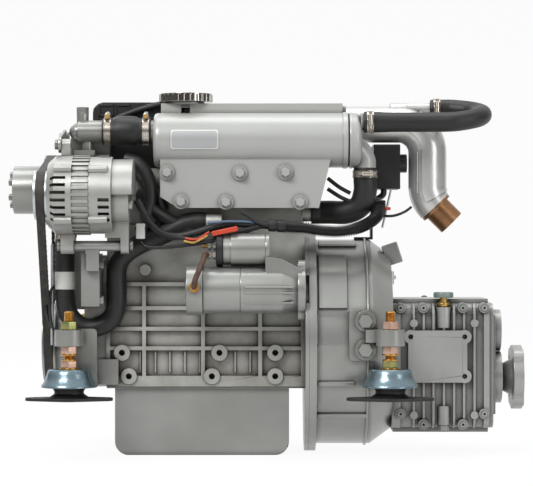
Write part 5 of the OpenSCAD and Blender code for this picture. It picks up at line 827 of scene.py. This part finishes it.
def bentPlate(inset, thick, finish):
    wide, high = (plate[axis + "1"] - plate[axis + "0"] - 2 * inset for axis in "xz")
    bpy.ops.mesh.primitive_cube_add(size=1)
    piece = bpy.context.object
    piece.scale = (wide * mm, thick * mm, high * mm)
    settle(piece)
    modifier = piece.modifiers.new("corners", "BEVEL")
    modifier.width = plate["corner"] * mm
    modifier.segments = plate["cornerSteps"]
    modifier.limit_method = "WEIGHT"
    weights = piece.data.attributes.new("bevel_weight_edge", "FLOAT", "EDGE")
    for edge in piece.data.edges:
        a, b = (piece.data.vertices[i].co for i in edge.vertices)
        weights.data[edge.index].value = 1.0 if abs(a.y - b.y) > 0.0001 else 0.0
    bpy.ops.object.modifier_apply(modifier="corners")
    bpy.ops.object.mode_set(mode="EDIT")
    bpy.ops.mesh.select_all(action="SELECT")
    for k in range(-plate["cutsPerSide"], plate["cutsPerSide"] + 1):
        bpy.ops.mesh.bisect(plane_co=(0, 0, k * plate["cutStep"] * mm), plane_no=(0, 0, 1))
        bpy.ops.mesh.select_all(action="SELECT")
    bpy.ops.object.mode_set(mode="OBJECT")
    midX, midZ = (plate["x0"] + plate["x1"]) / 2 * mm, (plate["z0"] + plate["z1"]) / 2 * mm
    for vertex in piece.data.vertices:
        angle = vertex.co.z / (plate["radius"] * mm)
        reach = plate["radius"] * mm - vertex.co.y
        vertex.co = Vector((midX + vertex.co.x, tankAxis[0] * mm - reach * math.cos(angle),
                            midZ + reach * math.sin(angle)))
    return paintPiece(roundEdges(piece, 0.3, 2, 40), finish)


platePiece = joinPieces([bentPlate(0, plate["rimThick"], plateRim),
                         bentPlate(plate["faceInset"], plate["faceThick"], plateFace)])
finishPiece(platePiece, "blankNamePlate", None, angle=50)
print("stage: exchanger")

# Cogged belt round the three pulleys
beltCircles = [(0, 58.3, 70), (0, 305, 57), (-170, 293, 38.5)]
beltSizes = {"x0": -772.5, "x1": -759.5, "cogs": 118, "outside": 0.1, "skin": 5.2, "tooth": 8.8,
             "turnSteps": 40, "pointsPerCog": 4}


def beltLoop():
    def way(i):
        a, b = beltCircles[i], beltCircles[(i + 1) % 3]
        d = Vector((b[0] - a[0], b[1] - a[1]))
        return math.atan2(d.y, d.x) - math.pi / 2 + math.asin((a[2] - b[2]) / d.length)
    loop = []
    for i, (y, z, r) in enumerate(beltCircles):
        start = way((i + 2) % 3)
        turn = (way(i) - start) % (2 * math.pi)
        for k in range(beltSizes["turnSteps"] + 1):
            a = start + turn * k / beltSizes["turnSteps"]
            loop.append(Vector((0, y + r * math.cos(a), z + r * math.sin(a))))
    return loop + [loop[0]]


def coggedBelt():
    perCog = beltSizes["pointsPerCog"]
    count = beltSizes["cogs"] * perCog
    spots = evenly(beltLoop(), count + 1)[:-1]
    verts, faces = [], []
    for i, p in enumerate(spots):
        way = (spots[(i + 1) % count] - spots[i - 1]).normalized()
        inward = Vector((0, -way.z, way.y))
        depth = beltSizes["tooth"] if i % perCog < perCog // 2 else beltSizes["skin"]
        for d in (beltSizes["outside"], depth):
            q = p + inward * d
            verts.append((beltSizes["x0"] * mm, q.y * mm, q.z * mm))
    for i in range(count):
        j = (i + 1) % count
        faces.append((2 * i, 2 * j, 2 * j + 1, 2 * i + 1))
    piece = extruded(newPiece("belt", verts, faces=faces), (beltSizes["x1"] - beltSizes["x0"]) * mm)
    return roundEdges(piece, 0.5, 1, 60)


belt = coggedBelt()
finishPiece(belt, "coggedBelt", beltRubber)
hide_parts("drive_belt")
print("stage: belt")

# Studs with threads and tinted nuts, rubbers and washers: one foot is modelled and copied to all four
foot = {"x": (-722, -224), "y": (-190, 190), "acrossFlats": 24,
        "nuts": ((84.2, 97), (46.7, 58.8), (25.2, 35.7)),  # from, to
        "washers": ((23, 25, 15), (35.7, 38.4, 12.2), (44.2, 46.7, 13.5)),  # from, to, radius
        "nutTints": ((greenZinc, pinkZinc, pinkZinc), (pinkZinc, pinkZinc, greenZinc))}  # for each x
thread = {"z": -19, "first": 0.8, "step": 0.9, "count": 145, "crest": 8.0, "root": 7.1, "core": 0.5,
          "chamfer": (131.6, 6.4), "length": 132}

threadProfile = [(0, thread["core"])]
threadProfile += [(thread["first"] + thread["step"] * k, thread["crest"] if k % 2 else thread["root"])
                  for k in range(thread["count"])]
threadProfile += [thread["chamfer"], (thread["length"], thread["core"])]
footModel = [turned(threadProfile, (0, 0, thread["z"]), zWay, 28)]
footModel += [rod((0, 0, z0), (0, 0, z1), foot["acrossFlats"] / math.sqrt(3), sides=6, edge=1.3)
              for z0, z1 in foot["nuts"]]
footModel += [rod((0, 0, z0), (0, 0, z1), r, sides=36, edge=0.5) for z0, z1, r in foot["washers"]]
studParts = []
for x, tints in zip(foot["x"], foot["nutTints"]):
    finishes = (yellowZinc, *tints, yellowZinc, yellowZinc, yellowZinc)
    for y in foot["y"]:
        move = Matrix.Translation(Vector((x, y, 0)) * mm)
        studParts += [paintPiece(movedCopy(part, move), finish) for part, finish in zip(footModel, finishes)]
for part in footModel:
    bpy.data.objects.remove(part)
studSet = joinPieces(studParts)
finishPiece(studSet, "footStuds", None, angle=40)
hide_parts("mount_studs")
rubberSet = roundedCopy("mount_rubbers", 1.0)
finishPiece(rubberSet, "footRubbers", mountRubber)
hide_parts("mount_rubbers")
print("stage: feet")

# Flange-headed bolts of the manifold, bolts of the gearbox, and its dipstick
manifoldBolt = {"acrossFlats": 13, "height": 7.6, "flange": 9.4, "edge": 0.9, "y": -129, "places": [
    (-573, 330.2), (-458, 329.1), (-386, 330.2), (-551, 284), (-480, 283), (-363, 283)]}
manifoldPlaces = [(x, manifoldBolt["y"], z) for x, z in manifoldBolt["places"]]
manifoldHead = hexHead(manifoldPlaces[0], nearWay, manifoldBolt["acrossFlats"], manifoldBolt["height"],
                       manifoldBolt["flange"], manifoldBolt["edge"])
manifoldSet = repeatAt(manifoldHead, manifoldPlaces)
finishPiece(manifoldSet, "manifoldHeads", palePaint)
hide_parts("manifold_bolts")
gearHeads = roundedCopy("gearbox_bolts", 0.4)
finishPiece(gearHeads, "gearboxHeads", gearboxPaint)
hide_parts("gearbox_bolts")
# The stick stands in the middle of its CAD node
corners = [Vector(c) / mm for c in cadNodes["dipstick"].bound_box]
stickX, stickY = (sum(c[i] for c in corners) / 8 for i in (0, 1))
stick = {"bottomZ": 30, "collarZ": 117, "plugZ": 131, "radius": 3.6,
         "collar": [(0, 0.5), (0, 9.2), (0.8, 10), (5.2, 10), (6, 9.2), (6, 6.4), (14, 6.4), (14, 0.5)],
         "plug": [(0, 0.5), (0, 14.6), (1.4, 16), (7.4, 16), (9, 14.4), (9, 0.5)]}
stickRod = rod((stickX, stickY, stick["bottomZ"]), (stickX, stickY, stick["collarZ"]), stick["radius"],
               sides=24, edge=0.6)
collar = turned(stick["collar"], (stickX, stickY, stick["collarZ"]), zWay, 40)
plug = turned(stick["plug"], (stickX, stickY, stick["plugZ"]), zWay, 48)
stickPiece = joinPieces([paintPiece(stickRod, steelCore), paintPiece(collar, brass),
                         paintPiece(plug, plugPlastic)])
finishPiece(stickPiece, "dipstickPlug", None, body="gearbox_dipstick", angle=45)
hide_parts("dipstick")

# Bell housing: raised panel, rim and ridges round the crank axis
bellAxis = {"y": 0, "z": 58.3}
bellBands = [  # x0, x1, low and high angle from the far side over the top, radius
    (-334, -289, 123, 160, 168.0), (-333, -272, 107, 113, 169.6), (-259, -255, 20, 340, 167.4),
    (-336, -278, 199.6, 202.4, 167.6), (-337, -255, 220.6, 223.4, 167.6)]
bandShape = {"thick": 4.0, "leastPoints": 4, "degreesPerPoint": 4}
bellParts = []
for x0, x1, low, high, radius in bellBands:
    axis = [(x, bellAxis["y"], bellAxis["z"]) for x in (x0, (x0 + x1) / 2, x1)]
    count = max(bandShape["leastPoints"], int((high - low) / bandShape["degreesPerPoint"]))
    bellParts.append(sectorShell(axis, radius, low, high, count, bandShape["thick"]))
bellSet = joinPieces(bellParts)
finishPiece(bellSet, "bellBands", greyPaint, angle=45)

# Engine block: thin cast ribs between the bosses
blockRibs = {"x": (-617, -593, -570, -546, -522, -466, -442, -423), "width": 2.6, "y0": -91, "y1": -85.5,
             "z0": 12, "z1": 46, "edge": 0.8}
longRib = {"x0": -664, "x1": -362, "z0": 48.5, "z1": 52, "proud": 0.4, "edge": 0.9}
middle, half = blockRibs["x"][0], blockRibs["width"] / 2
rib = block(middle - half, middle + half, blockRibs["y0"], blockRibs["y1"], blockRibs["z0"], blockRibs["z1"],
            blockRibs["edge"])
ribSet = joinPieces([
    repeatAt(rib, [(x, 0, 0) for x in blockRibs["x"]]),
    block(longRib["x0"], longRib["x1"], blockRibs["y0"] - longRib["proud"], blockRibs["y1"], longRib["z0"],
          longRib["z1"], longRib["edge"])])
finishPiece(ribSet, "blockRibs", castPaint)

# Rocker cover: raised frames, a lip at the front and the breather hose
coverFrame = {"x": (-688, -661), "long": 24, "z0": 424, "z1": 443, "y0": -28.5, "y1": -25, "width": 2.6,
              "edge": 0.6}
frontLip = (-691, -687.8, -29, -25, 350, 440, 0.9)  # x0, x1, y0, y1, z0, z1, edge
breather = {"radius": 5, "steps": 8, "rings": 40, "sides": 18, "points": [
    (-668, -34, 414), (-655, -34, 422), (-622, -33, 434), (-590, -32, 443), (-575, -30, 446)]}


def coverBar(x0, x1, z0, z1):
    return block(x0, x1, coverFrame["y0"], coverFrame["y1"], z0, z1, coverFrame["edge"])


left, low, high, bar = coverFrame["x"][0], coverFrame["z0"], coverFrame["z1"], coverFrame["width"]
right = left + coverFrame["long"]
oneFrame = joinPieces([coverBar(left, right, low, low + bar), coverBar(left, right, high - bar, high),
                       coverBar(left, left + bar, low, high), coverBar(right - bar, right, low, high)])
coverParts = [repeatAt(oneFrame, [(x, 0, 0) for x in coverFrame["x"]]), block(*frontLip)]
for part in coverParts:
    paintPiece(part, blackMould)
breatherPath = evenly(routeThrough(breather["points"], breather["steps"]), breather["rings"])
coverParts.append(paintPiece(tubeAlong(breatherPath, breather["radius"], breather["sides"]), hoseRubber))
coverSet = joinPieces(coverParts)
finishPiece(coverSet, "rockerTrim", None, angle=50)

# Dark hoses in front of the head with the boot behind them, and two straps under the exchanger
darkRoutes = [  # points, radius
    ([(-640, -98, 352), (-620, -104, 345), (-604, -106, 322), (-600, -108, 290), (-606, -112, 262),
      (-596, -118, 246)], 11),
    ([(-628, -86, 340), (-612, -92, 318), (-590, -94, 300), (-580, -96, 270)], 9),
    ([(-604, -104, 280), (-592, -108, 268), (-570, -112, 255), (-548, -112, 243), (-536, -110, 236)], 11),
    ([(-318, -80, 322), (-300, -84, 308), (-282, -84, 298)], 3.2),
    ([(-318, -78, 305), (-298, -84, 292), (-280, -86, 284)], 3.2),
]
darkShape = {"steps": 8, "rings": 36, "sides": 22}
darkParts = [tubeAlong(evenly(routeThrough(points, darkShape["steps"]), darkShape["rings"]), radius,
                       darkShape["sides"]) for points, radius in darkRoutes]
boot = {"place": (-603, -84, 293), "profile": [(0, 1), (0, 20), (1.6, 21.4), (5, 21.4), (6.4, 20), (6.4, 1)]}
darkParts.append(turned(boot["profile"], boot["place"], nearWay, 44))
darkSet = joinPieces(darkParts)
finishPiece(darkSet, "darkHoses", hoseRubber, angle=50)

# Small fittings: solenoid end with its terminals, starter ridges, lever rod, tab and bolt at the bell,
# and the rod and filler block behind the belt
solenoid = {"y": -150, "z": 208.5, "end": -484, "steps": 48,
            "profile": [(-11, 1), (-11, 24.6), (-9.6, 26.6), (-1, 26.6), (0, 25.4), (0, 1)]}
terminal = {"x0": -517, "x1": -494, "radius": 3.4, "yz": ((-159, 200), (-142, 214)),
            "nutX": (-508, -500), "nutLong": 5, "nutRadius": 7}
brightRods = [  # start, end, radius, end radius, sides, edge
    ((-216, -60, 304), (-230, -62, 243), 1.8, None, 16, 0.0),
    ((-213.5, -40, 152), (-213.5, -40, 173), 3.6, None, 20, 0.5),
    ((-213.5, -40, 160), (-213.5, -40, 166), 7.4, None, 6, 0.7),
    ((-755.5, -112, 57), (-755.5, -112, 217), 2.6, None, 20, 0.6),
]
bellTab = {"sizes": (26, 10, 34), "place": (-213, -40, 201), "tilt": -18, "edge": 1.6}
fillerBlock = (-724, -706.3, -70, -50, 112, 210, 2.2)  # x0, x1, y0, y1, z0, z1, edge
starterRidges = {"y": -150, "z": 145, "bodyRadius": 36.4, "heights": (149.6, 141, 125.6), "x0": -450,
                 "x1": -374, "radius": 1.7, "edge": 0.4}

solenoidEnd = turned(solenoid["profile"], [solenoid[key] for key in ("end", "y", "z")], xWay,
                     solenoid["steps"])
fittings = [paintPiece(solenoidEnd, blackMould)]
for y, z in terminal["yz"]:
    post = rod((terminal["x0"], y, z), (terminal["x1"], y, z), terminal["radius"], sides=20, edge=0.4)
    fittings.append(paintPiece(post, brass))
    for x in terminal["nutX"]:
        nut = rod((x, y, z), (x + terminal["nutLong"], y, z), terminal["nutRadius"], sides=6, edge=0.6)
        fittings.append(paintPiece(nut, zincBright))
fittings += [paintPiece(rod(*sizes), zincBright) for sizes in brightRods]
fittings.append(paintPiece(tiltedBlock(**bellTab), greyPaint))
fittings.append(paintPiece(block(*fillerBlock), greyPaint))
for z in starterRidges["heights"]:
    y = starterRidges["y"] - math.sqrt(starterRidges["bodyRadius"] ** 2 - (z - starterRidges["z"]) ** 2)
    ridge = rod((starterRidges["x0"], y, z), (starterRidges["x1"], y, z), starterRidges["radius"], sides=14,
                edge=starterRidges["edge"])
    fittings.append(paintPiece(ridge, greyPaint))
fittingSet = joinPieces(fittings)
finishPiece(fittingSet, "smallFittings", None, angle=45)
print("stage: small pieces")

# Wiring: loom, rear leads, braided starter lead, connectors and the ribbed conduit
wires = [  # points, radius, finish
    ([(-619, -150, 286), (-606, -150, 262), (-588, -150, 238), (-560, -150, 229), (-530, -150, 234),
      (-500, -148, 243), (-470, -146, 249), (-440, -145, 248), (-410, -144, 246), (-375, -140, 243)],
     6.0, blackMould),
    ([(-604, -158, 258), (-580, -160, 236), (-545, -160, 226), (-512, -160, 224), (-480, -156, 232),
      (-428, -150, 245)], 3.4, blackMould),
    ([(-612, -157, 220), (-600, -160, 212), (-560, -162, 213), (-510, -160, 220), (-470, -154, 230),
      (-425, -149, 244)], 3.0, glossBlack),
    ([(-241, -58, 283), (-238, -42, 289), (-230, -29, 294), (-226, -26, 299), (-226, -26, 306)],
     5.0, blackMould),
    ([(-508, -160, 200), (-512, -176, 200), (-514, -194, 192), (-520, -203, 177), (-526, -205, 162),
      (-528, -201, 150), (-528, -195, 150)], 4.6, braid),
    ([(-508, -156, 250), (-480, -156, 252), (-450, -153, 252), (-425, -150, 250)], 2.0, bluePlastic),
    ([(-545, -166, 222), (-532, -166, 219), (-524, -165, 221), (-508, -160, 230)], 1.8, brass),
    ([(-543, -164, 226), (-530, -164, 224), (-520, -162, 226), (-506, -158, 236)], 1.8, redPlastic),
    ([(-456, -160, 267), (-445, -158, 262), (-432, -154, 252), (-415, -150, 246)], 3.2, blackMould),
    ([(-236, -80, 262), (-214, -84, 262), (-196, -80, 268), (-184, -66, 276)], 2.2, glossBlack),
    ([(-752, -100, 150), (-762, -112, 135), (-764, -114, 110), (-756, -112, 84), (-742, -108, 66)],
     2.6, glossBlack),
    ([(-748, -104, 158), (-758, -118, 140), (-758, -120, 104), (-750, -116, 70)], 2.2, blackMould),
]
wireShape = {"steps": 8, "rings": 60, "sides": 14}
sleeve = {"start": (-413, -144.5, 246.4), "way": (1, 0.05, -0.06), "profile": [
    (0, 5), (0, 8.6), (1.2, 9.6), (11, 9.6), (12, 8.4), (13.5, 8.4), (14.5, 9.8), (26, 9.8), (27, 8.8),
    (27, 5)]}
connector = {"sizes": (41, 8, 8), "place": (-481, -165, 237), "tilt": -12, "edge": 1.4}
plugs = [  # x0, x1, y0, y1, z0, z1, edge, then the finish
    ((-620, -606, -163, -152, 225, 249, 1.4), paleBand),
    ((-622, -604, -161, -150, 236, 244, 1.0), glossBlack),
    ((-250, -226, -92, -74, 263, 287, 2.2), glossBlack),
    ((-226, -218, -90, -76, 271, 276, 1.0), redPlastic),
]
cableEnd = {"place": (-528, -195.5, 150), "ring": [(0, 3.2), (0, 8.4), (2.2, 8.4), (2.2, 3.2)],
            "nutPlace": (-528, -197.6, 150), "acrossFlats": 12, "height": 5.4}

wireParts = []
for points, radius, finish in wires:
    path = evenly(routeThrough(points, wireShape["steps"]), wireShape["rings"])
    wireParts.append(paintPiece(tubeAlong(path, radius, wireShape["sides"]), finish))
sleevePiece = turned(sleeve["profile"], sleeve["start"], sleeve["way"], 32, ring=True)
wireParts.append(paintPiece(sleevePiece, blackMould))
wireParts.append(paintPiece(tiltedBlock(**connector), redPlastic))
wireParts += [paintPiece(block(*sizes), finish) for sizes, finish in plugs]
endRing = turned(cableEnd["ring"], cableEnd["place"], nearWay, 32, ring=True)
endNut = hexHead(cableEnd["nutPlace"], nearWay, cableEnd["acrossFlats"], cableEnd["height"])
wireParts += [paintPiece(endRing, yellowZinc), paintPiece(endNut, yellowZinc)]
wireSet = joinPieces(wireParts)
finishPiece(wireSet, "wiringSet", None, angle=50)
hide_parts("wiring_loom")
ribbed = {"ribs": 62, "ringsPerRib": 4, "crest": 9.9, "valley": 7.2, "steps": 10, "sides": 20, "points": [
    (-387, -141, 244), (-375, -140, 243), (-355, -140, 242), (-330, -140, 238), (-300, -140, 237),
    (-270, -136, 243), (-246, -118, 256), (-236, -92, 270), (-238, -72, 279), (-241, -58, 283)]}
conduitPath = evenly(routeThrough(ribbed["points"], ribbed["steps"]), ribbed["ribs"] * ribbed["ringsPerRib"])
crestRings = ribbed["ringsPerRib"] // 2
conduitRadii = [ribbed["crest"] if i % ribbed["ringsPerRib"] < crestRings else ribbed["valley"]
                for i in range(len(conduitPath))]
conduit = tubeAlong(conduitPath, conduitRadii, ribbed["sides"])
finishPiece(conduit, "ribbedConduit", glossBlack, angle=25)
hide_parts("loom_conduit")
print("stage: wiring")
